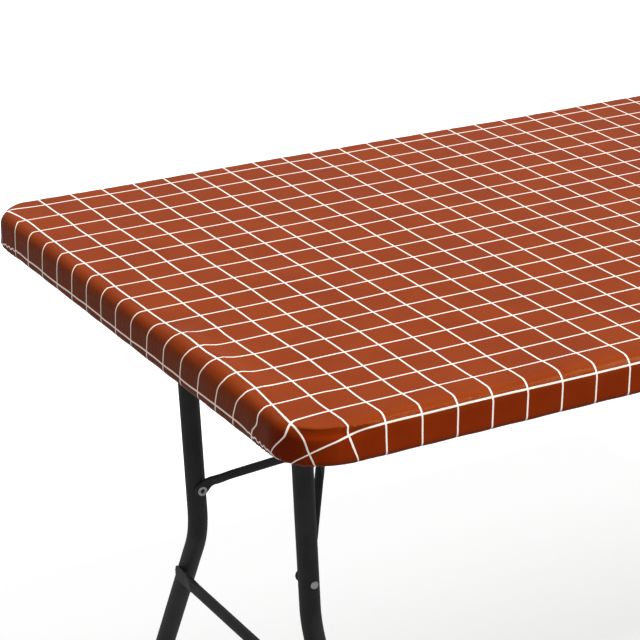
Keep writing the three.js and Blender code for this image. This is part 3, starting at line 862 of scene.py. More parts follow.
@dataclass
class FittedCover:
    """The printed sheet over the top, round the edge and back under it to the hem.

    A place on the skirt is given by its station and its distance down the sheet from where the
    flat top ends. A station's lead is its distance round the edge from the middle of its corner:
    below zero towards the end of the table, above zero towards the long side.
    """

    # (place along, place across, half width along, half width across, height) of each soft rise
    DENTS: ClassVar[tuple] = (
        (-868, -255, 26, 13, 1.3), (-874, -178, 22, 12, 1.0), (-858, -98, 30, 14, 1.1),
        (-842, -300, 20, 30, 0.8), (-800, -208, 34, 16, 0.7), (-868, 40, 24, 16, 0.6),
        (-700, -352, 60, 9, 0.8), (-560, -356, 70, 10, 0.7), (866, 180, 28, 14, 1.1),
        (872, 70, 24, 13, 0.9), (858, -120, 30, 16, 0.8),
    )
    # (sign along, sign across, distance down, height) of the fold pressed in at each corner
    FOLDS: ClassVar[tuple] = ((-1, -1, 9.5, 2.3), (1, -1, 10.5, 0.9), (1, 1, 9.5, 1.2), (-1, 1, 10.0, 0.8))

    finishes: Finishes
    corner: float = 53.6
    top_round: float = 14.6
    foot_round: float = 7.6
    mouth_inset: float = 35.6
    mouth_corner: float = 34.0
    thickness: float = 0.7
    flat_rows: int = 6
    round_rows: int = 16
    side_rows: int = 5
    foot_rows: int = 6
    under_rows: int = 6
    lead_radius: float = 46.0
    sag: float = 2.9
    top_rise: float = 0.55
    ridge_height: float = 4.6
    pleat_pitch: float = 9.6
    pleat_height: float = 3.0
    print_pull: float = 9.0
    print_slip: float = 9.5
    seed: int = 7

    def __post_init__(self) -> None:
        """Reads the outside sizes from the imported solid."""
        low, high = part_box("tablecloth")
        self.half = np.array([high[0] - low[0], high[1] - low[1]]) / 2 / MM
        self.top, self.bottom = high[2] / MM, low[2] / MM
        self.inner = self.half - self.corner
        self.rim = Rim(tuple(self.inner))
        self.base, self.angle, self.gap = self.rim.stations()
        self.normal = np.stack([np.cos(self.angle), np.sin(self.angle)], -1)
        self.crown = self.corner - self.top_round
        self.side = self.top - self.bottom - self.top_round - self.foot_round
        self.side_start = self.top_round * np.pi / 2
        self.foot_start = self.side_start + self.side
        self.under_start = self.foot_start + self.foot_round * np.pi / 2
        self.lead, self.along = self.leads()

    def leads(self) -> tuple[np.ndarray, np.ndarray]:
        """Each station's lead, and the direction in which it grows."""
        turn = np.arctan2(np.abs(self.normal[:, 1]), np.abs(self.normal[:, 0]))
        half = self.lead_radius / 2 * np.pi / 2
        on_long, on_end = turn > np.pi / 2 - 1e-6, turn < 1e-6
        lead = np.where(on_end, -half - self.gap, self.lead_radius * turn - half)
        sign = np.sign(self.base)
        along = np.stack([-sign[:, 0] * np.sin(turn), sign[:, 1] * np.cos(turn)], -1)
        return np.where(on_long, half + self.gap, lead), along

    def mouth_reach(self) -> np.ndarray:
        """How far each station lies from the inner rectangle to the mouth.

        The mouth is a rounded rectangle whose corners turn about points k further in, so the reach
        solves (reach·cos + k)² + (reach·sin + k)² = radius² at a corner.

        Returns:
            The reach at each station.
        """
        k = self.mouth_inset + self.mouth_corner - self.corner
        spread = np.abs(self.normal).sum(1)
        at_corner = -k * spread + np.sqrt(k**2 * spread**2 - 2 * k**2 + self.mouth_corner**2)
        short = np.maximum(0, k - self.gap)
        along = -k + np.sqrt(self.mouth_corner**2 - short**2)
        return np.where(self.gap > 0, along, at_corner)

    def profile(self) -> tuple[np.ndarray, np.ndarray, np.ndarray, np.ndarray]:
        """The section of the sheet at every station.

        Returns:
            Distance down the sheet, distance out, height, and the surface's turn from straight up,
            each rows by stations. The roundings are circles, and the side is a straight run that
            hangs lower along the long sides.
        """
        marks = (-self.crown, 0, self.side_start, self.foot_start, self.under_start)
        counts = (self.flat_rows, self.round_rows, self.side_rows, self.foot_rows)
        runs = [np.linspace(a, b, n, endpoint=False) for a, b, n in zip(marks, marks[1:], counts)]
        down = np.concatenate(runs)[:, None] * np.ones(len(self.base))
        under = self.corner - self.foot_round - self.mouth_reach()
        under = under * np.linspace(0, 1, self.under_rows)[:, None]
        down = np.concatenate([down, self.under_start + under])
        first = np.clip(down / self.top_round, 0, np.pi / 2)
        second = np.clip((down - self.foot_start) / self.foot_round, 0, np.pi / 2)
        run = np.clip(down - self.side_start, 0, self.side)
        tail = np.maximum(0, down - self.under_start)
        out = self.crown + np.minimum(down, 0) + self.top_round * np.sin(first)
        out = out - self.foot_round * (1 - np.cos(second)) - tail
        height = self.top - self.top_round * (1 - np.cos(first)) - run - self.foot_round * np.sin(second)
        hanging = ramp(self.lead, 10, 50)
        height = height - self.sag * hanging * ramp(down, self.side_start, self.side)
        return down, out, height, first + second

    def swell(self, x: np.ndarray, y: np.ndarray) -> np.ndarray:
        """Height of the soft waves left in the sheet where it lies on the top.

        Nine long sine waves in seeded directions, shallow round dents and blisters, each the bell
        curve of the distance from its middle, and one long ridge across the left end.

        Args:
            x: Places along the table.
            y: Places across it.

        Returns:
            The height at each.
        """
        draw = np.random.default_rng(self.seed)
        rise = np.full(np.shape(x), self.top_rise)
        for length, size in zip(draw.uniform(95, 320, 9), draw.uniform(0.05, 0.16, 9)):
            way, phase = draw.uniform(0, np.pi), draw.uniform(0, 2 * np.pi)
            rise = rise + size * np.sin((x * np.cos(way) + y * np.sin(way)) * 2 * np.pi / length + phase)
        for mx, my, wide, deep, high in self.DENTS:
            rise = rise + high * np.exp(-(((x - mx) / wide) ** 2) - ((y - my) / deep) ** 2)
        ridge = ramp(-y, 62, 55) * ramp(y, -292, 60) * (0.85 + 0.15 * np.cos((y + 200) / 14))
        return rise + self.ridge_height * ridge * bell(x, -893, 13)

    def pleat_wave(self) -> tuple[np.ndarray, np.ndarray]:
        """How far each station is up a pleat, from 0 to 1, and its distance round the hem.

        Pleats are raised cosines of that distance, sharpened on their inner side and a little
        uneven in their spacing.

        Returns:
            The wave and the distance.
        """
        draw = np.random.default_rng(self.seed + 1)
        step = np.linalg.norm(np.diff(self.base, axis=0, append=self.base[:1]), axis=1)
        last = self.angle[-1] + np.pi / 2 / self.rim.corner_steps
        bend = np.abs(np.diff(np.unwrap(self.angle), append=last))
        round_hem = np.concatenate([[0], np.cumsum(step + self.lead_radius * bend)[:-1]])
        uneven = 1.3 * np.sin(round_hem / 23 + draw.uniform(0, 6)) + 0.8 * np.sin(round_hem / 10.7)
        return (0.5 + 0.5 * np.cos(round_hem * 2 * np.pi / self.pleat_pitch + uneven)) ** 1.4, round_hem

    def gathers(self, down: np.ndarray) -> np.ndarray:
        """How far the sheet stands out in pleats, rows by stations.

        Pleats are about ten millimetres apart at a corner and fade into slow waves along the sides,
        and they grow from the middle of the side down to the hem.

        Args:
            down: Distance down the sheet.

        Returns:
            The offset along the surface's normal.
        """
        pleat, round_hem = self.pleat_wave()
        lead = self.lead
        under_corner = smooth_step(1 - self.gap / 58)
        near_corner = ramp(lead, -92, 40) * (1 - 0.9 * ramp(lead, 2, 22)) * ramp(-lead, -110, 40)
        grow = 0.45 * near_corner * ramp(down, self.foot_start - 9, 18)
        grow = grow + 0.6 * under_corner * ramp(down, self.under_start - 4, 12)
        pleats = self.pleat_height * pleat * (0.75 + 0.25 * np.sin(round_hem / 31 + 1)) * grow
        slow = 0.5 + 0.5 * np.sin(round_hem * 2 * np.pi / 57 + 1.4 * np.sin(round_hem / 97))
        waves = 0.45 * slow * ramp(down, self.side_start + 4, 30) * (1 - 0.5 * under_corner)
        streaks = 0.28 * np.sin(round_hem * 2 * np.pi / 41 + 2 * np.sin(round_hem / 67))
        streaks = streaks * smooth_step(down / 12) * ramp(-down, -self.under_start, 20)
        return pleats + waves + streaks + 0.3 * smooth_step(down / 8)

    def fold_line(self) -> tuple[np.ndarray, np.ndarray]:
        """How much lower a corner's fold lies at each station than at its start, and its strength."""
        return 3.6 * ramp(self.lead, 20, 45), ramp(self.lead, -14, 22) * ramp(-self.lead, -84, 26)

    def drawn(self, down: np.ndarray) -> np.ndarray:
        """Where the sheet's colour is deepened as painted shade: the long sides and the corners.

        Args:
            down: Distance down the sheet.

        Returns:
            A share from 0 to 1, rows by stations. It begins sharply under a corner's fold, as the painted
            shade below that fold.
        """
        line, span = self.fold_line()
        sharp = ramp(down, line + self.FOLDS[0][2], 3.0)
        soft = ramp(down, 12, 12)
        # The painted shade is deepest round the corner.
        most = 0.56 + 0.44 * bell(self.lead, -22, 26)
        return ramp(self.lead, -62, 40) * most * (soft + (sharp - soft) * span)

    def creases(self, down: np.ndarray) -> np.ndarray:
        """Folds pressed in where the sheet is pulled round the corners, and fine ripples beside them.

        A fold is a bell curve across a line in the unrolled sheet, steeper on its lower side, with
        a hollow under it.

        Args:
            down: Distance down the sheet.

        Returns:
            The offset along the surface's normal, rows by stations.
        """
        line, span = self.fold_line()
        rise = np.zeros_like(down)
        for sx, sy, low, size in self.FOLDS:
            here = (np.sign(self.base[:, 0]) == sx) & (np.sign(self.base[:, 1]) == sy)
            at = line + low
            fold = bell(down, at, np.where(down < at, 3.2, 1.5)) - 0.7 * bell(down, at + 6.5, 4.0)
            rise = rise + size * span * here * fold
        lead = self.lead
        fine = (self.base[:, 1] < 0) * ramp(lead, 60, 30) * ramp(-lead, -330, 120)
        ripple = np.sin(lead / 3.1 + 1.8 * np.sin(lead / 13)) * np.sin(lead / 37) ** 2
        return rise + 0.32 * fine * ripple * bell(down, 14.5 + 1.5 * np.sin(lead / 9), 2.4)

    def flat_cut(self, down: np.ndarray) -> np.ndarray:
        """Where each point lies on the flat cut, in millimetres.

        A point lies beyond its base by the distance down the sheet, along the outward direction,
        less what the sheet is pulled out by near a corner. It also slips sideways towards or away
        from the corner, by a sum of ramps and bell curves of its lead and its distance down.

        Args:
            down: Distance down the sheet.

        Returns:
            Flat places, rows by stations by 2.
        """
        lead, across = self.lead, self.base[:, 1]
        on_end, long_side = ramp(-lead, 30, 30), ramp(lead, 30, 30)
        far = on_end * (across > 0)
        low = np.clip((down - 21 + 12 * on_end + 5 * far) / (32 - 6 * on_end - 10 * far), 0, 1)
        # Outwards: the corner's pull, the end's and long side's own stretch, and the hem's puckers.
        pull = self.print_pull * bell(lead, 0, 42) * ramp(down, -30, 54) * (1 - 0.7 * ramp(down, 30, 26))
        reach = self.crown + down - pull
        reach = reach - 2.0 * (1 - ramp(lead, -60, 60)) * low + 1.2 * long_side * ramp(down, -10, 20)
        puckered = ramp(lead, -90, 30) * ramp(-lead, 26, 22) * ramp(down, self.foot_start - 15, 14)
        reach = reach + 3.4 * (self.pleat_wave()[0] - 0.5) * puckered
        # Sideways: towards the corner on the end, with less of it near the end's middle.
        share = np.minimum(1, np.abs(across) / (270 - 150 * far)) + 0.7 * far * ramp(lead, -90, 50)
        slip = self.print_slip * np.where(lead < 0, share, 1) * (1 - ramp(lead, 4, 40)) * low
        slip = slip + 3.0 * bell(lead, -12, 15) * ramp(down, 34, 16)
        # Back from the long side's first line, and a bulge in the lines round the near corners.
        slip = slip - 12.0 * bell(lead, 53, 15) * np.clip((down - 19) / 33, 0, 1.1)
        inner = ramp(lead, -45, 25)
        bulge = ramp(lead, -92, 34) * ramp(-lead, -12, 24) * (across < 0)
        slip = slip - (6.5 + inner) * bulge * bell(down, 25 - 3 * inner, 10 + 5 * inner)
        slip = slip - 2.5 * long_side * ramp(-lead, -260, 180) * low
        return self.slipped(self.base + reach[..., None] * self.normal + slip[..., None] * self.along)

    def slipped(self, place: np.ndarray) -> np.ndarray:
        """Flat places moved by the small uneven stretch of the sheet."""
        x, y = place[..., 0], place[..., 1]
        end, edge = ramp(np.abs(x), 640, 200), ramp(-y, 240, 100)
        dx = 0.45 * np.sin(y / 29 + 1.3 * np.sin(x / 90)) * (0.35 + end)
        dx = dx + 0.3 * np.sin(y / 11.5 + x / 60) * end + 2.6 * edge * ramp(-x, 480, 200)
        dy = 0.4 * np.sin(x / 47 + np.sin(y / 70)) + 0.35 * np.sin(x / 19 + y / 40) * end
        return np.stack([x + dx, y + dy - 2.1 * edge], -1)

    def crinkled(self, down: np.ndarray) -> np.ndarray:
        """Where the rounded edge is finely crinkled: along the near side, most of all at one place."""
        near_side = np.clip(-self.normal[:, 1], 0.25, 1) * smooth_step(self.gap / 30 + 0.3)
        patchy = 0.35 + 0.65 * bell(self.base[:, 0], -700, 170)
        return bell(down, 15, 4.5) * near_side * patchy

    def build(self) -> bpy.types.Object:
        """Makes the sheet: a grid over the inner rectangle, and rows of stations round it.

        Returns:
            The sheet, with its print coordinates, its attributes and its thickness.
        """
        xs, ys = self.rim.marks(self.inner[0]), self.rim.marks(self.inner[1])
        gx, gy = np.meshgrid(xs, ys)
        middle = np.stack([gx, gy, self.top + self.swell(gx, gy)], -1)
        down, out, height, tilt = self.profile()
        ring = self.base + out[..., None] * self.normal
        lift = self.gathers(down) + self.creases(down)
        lift = lift + self.swell(ring[..., 0], ring[..., 1]) * smooth_step(1 - down / self.side_start)
        ring = ring + (lift * np.sin(tilt))[..., None] * self.normal
        skirt = np.concatenate([ring, (height + lift * np.cos(tilt))[..., None]], -1)
        points = np.concatenate([middle.reshape(-1, 3), skirt.reshape(-1, 3)])
        faces = np.concatenate([
            grid_faces(len(ys), len(xs)),
            grid_faces(*down.shape, wrap_columns=True)[:, ::-1] + gx.size,
        ])
        cover = make_mesh("fitted_tablecloth", points, faces, turn_out=False)
        flat_middle = self.slipped(np.stack([gx, gy], -1)).reshape(-1, 2)
        lay_print(cover.data, np.concatenate([flat_middle, self.flat_cut(down).reshape(-1, 2)]))
        # Where the ends' ripples are bumped and streaked with painted shade.
        end_ripples_and_shade = np.abs(self.normal[:, 0]) ** 3 * ramp(down, 6, 14)
        # Two of these shares carry painted shade into the vinyl's colour: streaks down the ends, and a
        # darkening of the sides and corners.
        for name, share in (("crinkle", self.crinkled(down)), ("end_ripples_and_shade", end_ripples_and_shade), ("drawn", self.drawn(down))):
            values = np.concatenate([np.zeros(gx.size), share.ravel()]).astype(np.float32)
            cover.data.attributes.new(name, "FLOAT", "POINT").data.foreach_set("value", values)
        shell = bmesh.new()
        shell.from_mesh(cover.data)
        bmesh.ops.remove_doubles(shell, verts=shell.verts, dist=2e-6)
        shell.to_mesh(cover.data)
        shell.free()
        cover.data.materials.append(self.finishes.vinyl)
        cover.data.materials.append(self.finishes.flannel)
        wall = cover.modifiers.new("wall", "SOLIDIFY")
        wall.thickness = self.thickness * MM
        wall.offset = -1
        wall.material_offset = 1
        wall.material_offset_rim = 0
        return dress(cover, self.finishes.vinyl, "root", "tablecloth")

    def flat_size(self) -> tuple[tuple[float, float], float]:
        """The cut's width and length in metres, and its area with its round corners."""
        reach = self.crown + self.under_start + (self.corner - self.foot_round - self.mouth_reach().max())
        width, length = 2 * (self.inner[1] + reach) * MM, 2 * (self.inner[0] + reach) * MM
        area = width * length - (4 - np.pi) * (reach * MM) ** 2
        return (width, length), area


@dataclass
class GatheredHem:
    """The casing along the sheet's edge, the elastic in it and the row of stitches through it."""

    finishes: Finishes
    path_corner: float = 27.4
    corner_steps: int = 20
    half_width: float = 6.4
    half_height: float = 2.5
    casing_step: float = 2.0
    ruffle_pitch: float = 8.4
    print_shift: float = 62.0
    print_stretch: float = 1.6
    elastic_half: tuple[float, float] = (4.3, 0.75)
    elastic_step: float = 7.0
    cord_pitch: float = 2.4
    stitch_pitch: float = 3.4
    stitch_radius: float = 0.36
    stitch_inset: float = 3.4
    stitch_sides: int = 6
    stitch_rings: int = 5

    def __post_init__(self) -> None:
        """Reads the hem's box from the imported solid."""
        low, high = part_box("hem_casing")
        self.half = np.array([high[0] - low[0], high[1] - low[1]]) / 2 / MM - self.half_width
        self.level = (low[2] + high[2]) / 2 / MM

    def route(self, step: float) -> tuple[np.ndarray, np.ndarray]:
        """Points round the middle of the casing, about a step apart, and the distance round it."""
        quarter = np.linspace(0, np.pi / 2, self.corner_steps, endpoint=False)
        loop = rounded_rectangle(self.half, self.path_corner, quarter)
        closed = np.concatenate([loop, loop[:1]])
        along = np.concatenate([[0], np.cumsum(np.linalg.norm(np.diff(closed, axis=0), axis=1))])
        count = int(along[-1] / step)
        at = np.arange(count) * along[-1] / count
        flat = np.stack([np.interp(at, along, closed[:, k]) for k in range(2)], -1)
        return np.concatenate([flat, np.full((count, 1), self.level)], -1), at

    def gather(self, at: np.ndarray) -> np.ndarray:
        """The phase of the short gathers at distances round the casing."""
        return at * 2 * np.pi / self.ruffle_pitch + 1.1 * np.sin(at / 17)

    def ruffle(self, at: np.ndarray) -> tuple[np.ndarray, np.ndarray]:
        """How the gathering moves the casing up and down and in and out, at distances round it."""
        longer = np.sin(at * 2 * np.pi / 21 + 1.7 * np.sin(at / 41))
        sway = 0.4 * np.sin(at * 2 * np.pi / 13 + np.sin(at / 29))
        return 0.45 * np.sin(self.gather(at)) + 0.25 * longer, sway

    def casing(self) -> bpy.types.Object:
        """The casing: a flattened round section carried round the mouth, ruffled by the elastic."""
        path, at = self.route(self.casing_step)
        rise, sway = self.ruffle(at)
        swelling = 1 + 0.12 * np.sin(self.gather(at) + 1)
        half = np.stack([np.full(len(at), self.half_width - 0.4), self.half_height * swelling - 0.3], -1)
        section = rounded_section(half, np.full(len(at), 3.2), 16)
        section[..., 0] += sway[:, None] * 0.6
        section[..., 1] += rise[:, None] * np.where(section[..., 1] < 0, 1.0, 0.4)
        points = carried(path, UP, section, closed=True)
        made = make_mesh("gathered_hem_casing", points, torus_faces(points))
        centre = path[:, None]
        flat = (centre + self.print_stretch * (points - centre))[..., :2]
        lay_print(made.data, flat + self.print_shift * np.sign(centre[..., :2]))
        return dress(made, self.finishes.vinyl, "root", "hem_casing")

    def elastic(self) -> bpy.types.Object:
        """The braided band: a flat section with raised cords, carried round inside the casing."""
        path, _ = self.route(self.elastic_step)
        unit = rounded_section(np.array([self.elastic_half]), np.array([6.0]), 28)[0]
        unit[:, 1] *= 1 + 0.12 * np.cos(unit[:, 0] * 2 * np.pi / self.cord_pitch)
        points = carried(path, UP, unit, closed=True)
        made = make_mesh("braided_elastic", points, torus_faces(points))
        return dress(made, self.finishes.elastic, "root", "hem_elastic")

    def stitches(self) -> bpy.types.Object:
        """The stitches: short spindles under the casing, each a unit spindle turned along the route.

        Returns:
            One piece that holds every stitch of the row.
        """
        path, at = self.route(self.stitch_pitch)
        rise, sway = self.ruffle(at)
        ahead = np.roll(path, -1, 0) - path
        ahead = ahead / np.linalg.norm(ahead, axis=1, keepdims=True)
        across = np.cross(ahead, UP)
        drop = rise - self.half_height + 0.35
        middle = path + across * (self.stitch_inset + 0.6 * sway)[:, None] + UP * drop[:, None]
        share = np.linspace(-1, 1, self.stitch_rings)
        long = share * self.stitch_pitch * 0.40
        wide = self.stitch_radius * np.sqrt(np.clip(1.02 - share**2, 0, 1))
        unit = wide[:, None, None] * circle(self.stitch_sides)
        shape = (
            middle[:, None, None]
            + long[None, :, None, None] * ahead[:, None, None]
            + unit[None, ..., :1] * across[:, None, None]
            + unit[None, ..., 1:] * UP
        )
        one = capped(self.stitch_rings, self.stitch_sides)
        faces = []
        for corners in (4, self.stitch_sides):
            shift = np.arange(len(path))[:, None, None] * self.stitch_rings * self.stitch_sides
            same = np.array([face for face in one if len(face) == corners])
            faces += (same[None] + shift).reshape(-1, corners).tolist()
        return dress(make_mesh("hem_stitches", shape, faces), self.finishes.thread, "root", None)


# ---------------------------------------------------------------------------------------------
# The table


@dataclass
class TableTop:
    """The moulded top, its side rails and their screws."""

    finishes: Finishes
    rail_edge: float = 0.35
    weld_distance: float = 1e-6
    bevel_from: float = math.radians(40)
    head_radius: float = 4.5
    head_height: float = 3.0
    head_dome: float = 0.9
    shank_radius: float = 2.0
    shank_length: float = 10.0
    recess_depth: float = 1.5
    recess_arm: float = 0.95
    recess_reach: float = 2.7
    rings: int = 12
    sides: int = 40

    def keep(self, node: str, material: bpy.types.Material) -> None:
        """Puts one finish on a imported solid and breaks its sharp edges."""
        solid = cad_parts[node]
        solid.data.materials.clear()
        solid.data.materials.append(material)
        weld = solid.modifiers.new("weld", "WELD")
        weld.merge_threshold = self.weld_distance
        bevel = solid.modifiers.new("broken_edge", "BEVEL")
        bevel.width = self.rail_edge * MM
        bevel.segments = 2
        bevel.limit_method = "ANGLE"
        bevel.angle_limit = self.bevel_from
        LOG.info("%s keeps its packed shape", node)

    def screw(self, node: str) -> bpy.types.Object:
        """A pan-head screw with a cross recess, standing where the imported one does.

        The head's height is a flattened dome of the radius. The recess is taken out of it where
        either cross arm is near, as a smooth step of the distance from the arm's middle line.

        Args:
            node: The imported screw.

        Returns:
            The screw.
        """
        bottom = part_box(node)[0][2] / MM
        x, y, _ = middle_of(node)
        unit = circle(self.sides)
        radius = np.linspace(0, 1, self.rings)[:, None] * self.head_radius
        px, py = radius * unit[:, 0], radius * unit[:, 1]
        dome = self.head_dome * (radius / self.head_radius) ** 4 * np.ones(self.sides)
        arm = np.minimum(np.abs(px), np.abs(py))
        cut = ramp(-arm, -self.recess_arm, 0.5) * ramp(-radius, -self.recess_reach, 0.8)
        rows = [np.stack([px, py, dome + self.recess_depth * cut], -1)]
        tip = self.head_height + self.shank_length
        for r, z in ((self.head_radius, self.head_height), (self.shank_radius, self.head_height),
                     (self.shank_radius, tip), (0.0, tip)):
            rows.append(np.stack([r * unit[:, 0], r * unit[:, 1], np.full(self.sides, z)], -1)[None])
        points = np.concatenate(rows) + np.array([x, y, bottom])
        faces = grid_faces(*points.shape[:2], wrap_columns=True)
        made = make_mesh(f"{node}_cross_head", points, faces, weld=True)
        return dress(made, self.finishes.zinc, "root", node)

    def build(self) -> None:
        """Dresses the solids that keep their shape and makes the screws."""
        self.keep("table_top", self.finishes.panel)
        for node in ("side_rail_near", "side_rail_far", "strut_bracket_left", "strut_bracket_right"):
            self.keep(node, self.finishes.paint)
        for side in Side:
            for number in range(1, 4):
                self.screw(f"rail_screw_{side.value}_{number}")
        for number in range(1, 5):
            self.screw(f"bracket_screw_{number}")


@dataclass
class FoldingPart:
    """What the folding sub-assemblies share: their finishes, their end, their axes and their body."""

    finishes: Finishes
    end: End
    place: Placement = field(init=False)
    body: str = field(init=False)

    def node(self, kind: str, side: Side | None = None) -> str:
        """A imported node's name: its kind, its side if it has one, and its end."""
        return "_".join([kind, side.value, self.end.value] if side else [kind, self.end.value])

    def at(self, kind: str, side: Side | None = None) -> np.ndarray:
        """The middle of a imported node, as far from the table's middle along it as it is."""
        x, y, z = middle_of(self.node(kind, side))
        return np.array([abs(x), y, z])

    def add(self, node: str, style: str, points: np.ndarray, faces: Faces, material: bpy.types.Material,
            weld: bool = False, body: str | None = None, name: str | None = None) -> bpy.types.Object:
        """Makes and dresses a piece from points on this part's own axes.

        Args:
            node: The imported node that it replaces.
            style: What its name adds to the node's.
            points: Its points.
            faces: Its faces.
            material: Its finish.
            weld: Whether points that lie on each other are merged.
            body: Its body, if it isn't this part's.
            name: Its whole name, if it isn't the node's and the style.

        Returns:
            The piece.
        """
        made = make_mesh(name or f"{node}_{style}", self.place.world(points), faces, weld)
        return dress(made, material, body or self.body, node)

    def add_turned(self, node: str, style: str, profile: Sequence[tuple[float, float]], axis: str,
                   material: bpy.types.Material, centre: Sequence[float] = (0, 0, 0), sides: int = 28,
                   ring: bool = False, body: str | None = None) -> bpy.types.Object:
        """Makes a piece that is turned about an axis.

        Args:
            node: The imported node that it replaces.
            style: What its name adds to the node's.
            profile: Its profile, from one pole to the other, or a closed loop.
            axis: The axis that it is turned about.
            material: Its finish.
            centre: Where the axis' zero is.
            sides: Points round it.
            ring: Whether the profile is a closed loop that doesn't reach the axis.
            body: Its body, if it isn't this part's.

        Returns:
            The piece.
        """
        points = turned(profile, sides, axis, centre)
        faces = grid_faces(len(profile), sides, wrap_rows=ring, wrap_columns=True)
        return self.add(node, style, points, faces, material, weld=True, body=body)


@dataclass
class LegFrame(FoldingPart):
    """One end's pivot tube, two bent legs, cross brace, caps and rivets."""

    leg_y: float = 139.3
    foot_y: float = 285.0
    leg_radius: float = 12.5
    leg_start: float = 6.0
    leg_sides: int = 40
    knee_drop: float = 336.0
    knee_bend: float = 120.0
    ankle_height: float = 95.0
    ankle_bend: float = 60.0
    pivot_radius: float = 11.0
    pivot_wall: float = 1.5
    pivot_half: float = 314.0
    pivot_cap_radius: float = 14.0
    pivot_cap_span: tuple[float, float] = (306.3, 318.3)
    pivot_cap_floor: float = 3.7
    cap_radius: float = 14.5
    cap_height: float = 34.0
    cap_floor: float = 8.0
    cap_ribs: tuple[float, float, float, float] = (0.25, 5.0, 9.0, 29.0)
    brace_drop: float = 411.0
    brace_past: float = 1.5
    brace_radius: float = 7.0
    brace_pad: tuple[float, float, float] = (4.0, 44.0, 20.0)
    brace_fine: float = 70.0
    rivet_inside: float = 119.5
    rivet_radius: float = 3.0
    rivet_head: tuple[float, float] = (5.0, 2.2)
    rivet_tail: tuple[float, float, float, float] = (6.2, 2.0, 2.8, 7.0)
    gap: float = 0.3

    def __post_init__(self) -> None:
        """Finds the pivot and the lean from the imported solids."""
        pivot, rivet = self.at("pivot_tube"), self.at("leg_rivet", Side.NEAR)
        self.lean = math.atan2(pivot[0] - rivet[0], pivot[2] - rivet[2])
        self.place = Placement(-pivot[0], pivot[2], -self.lean, self.end)
        self.rivet_drop = (pivot[2] - rivet[2]) / math.cos(self.lean)
        self.length = pivot[2] / math.cos(self.lean)
        self.ankle_drop = (pivot[2] - self.ankle_height) / math.cos(self.lean)
        self.body = self.node("leg_frame")

    def leg(self, side: Side) -> bpy.types.Object:
        """A leg: a round section carried down a path with a bend at the knee and one at the ankle."""
        s = side.local(self.end)
        foot = self.length - self.cap_floor - self.gap
        corners = np.array([
            [0, s * self.leg_y, -self.leg_start], [0, s * self.leg_y, -self.knee_drop],
            [0, s * self.foot_y, -self.ankle_drop], [0, s * self.foot_y, -foot],
        ])
        path = bent_path(corners, (self.knee_bend, self.ankle_bend), 14)
        points = carried(path, np.array([1.0, 0, 0]), circle(self.leg_sides) * self.leg_radius)
        node = self.node("leg", side)
        return self.add(node, "", points, capped(*points.shape[:2]), self.finishes.paint, name=f"bent_{node}")

    def pivot_tube(self) -> bpy.types.Object:
        """The hollow tube that the frame turns on."""
        outer, inner, half = self.pivot_radius, self.pivot_radius - self.pivot_wall, self.pivot_half
        loop = [(outer, -half), (outer, half), (inner, half), (inner, -half)]
        return self.add_turned(
            self.node("pivot_tube"), "drawn", loop, "y", self.finishes.paint, sides=40, ring=True
        )

    def pivot_cap(self, side: Side) -> bpy.types.Object:
        """A push-on cap with a domed end, hollow over the tube."""
        start, stop = self.pivot_cap_span
        wall, bore, floor = self.pivot_cap_radius, self.pivot_radius + self.gap, stop - self.pivot_cap_floor
        corners = [(0, stop), (wall, stop), (wall, start), (bore, start), (bore, floor), (0, floor)]
        profile = facing(rounded(corners, (3.0, 0.8, 0.4, 0.3)), side.local(self.end))
        return self.add_turned(
            self.node("pivot_cap", side), "domed", profile, "y", self.finishes.zinc, sides=36
        )

    def foot_cap(self, side: Side) -> bpy.types.Object:
        """A foot cap with shallow ribs, sheared so that its bottom is level with the floor."""
        wall, bore, floor, tall = self.cap_radius, self.leg_radius + self.gap, self.cap_floor, self.cap_height
        corners = [(0, 0), (wall, 0), (wall, tall), (bore, tall), (bore, floor), (0, floor)]
        profile = rounded(corners, (2.0, 0.9, 0.4, 0.3))
        centre = np.array([0, side.local(self.end) * self.foot_y, 0])
        points = turned(profile, self.leg_sides, "z", centre - np.array([0, 0, self.length]))
        height = points[..., 2] + self.length
        points[..., 2] -= points[..., 0] * math.tan(self.lean) * (1 - smooth_step(height / tall))
        deep, pitch, first, last = self.cap_ribs
        ribs = deep * (np.cos(height * 2 * np.pi / pitch) > 0.2) * (height > first) * (height < last)
        spread = (points - centre) * np.array([1, 1, 0])
        size = np.linalg.norm(spread, axis=-1, keepdims=True)
        outside = size[..., 0] > wall - 0.2
        points = points - spread / np.maximum(size, 1e-6) * (ribs * outside)[..., None]
        faces = grid_faces(*points.shape[:2], wrap_columns=True)
        return self.add(self.node("foot_cap", side), "moulded", points, faces, self.finishes.foot, weld=True)

    def splay(self, down: float) -> float:
        """How far out the splayed part of a leg is, at a distance down it."""
        share = (down - self.knee_drop) / (self.ankle_drop - self.knee_drop)
        return self.leg_y + (self.foot_y - self.leg_y) * share

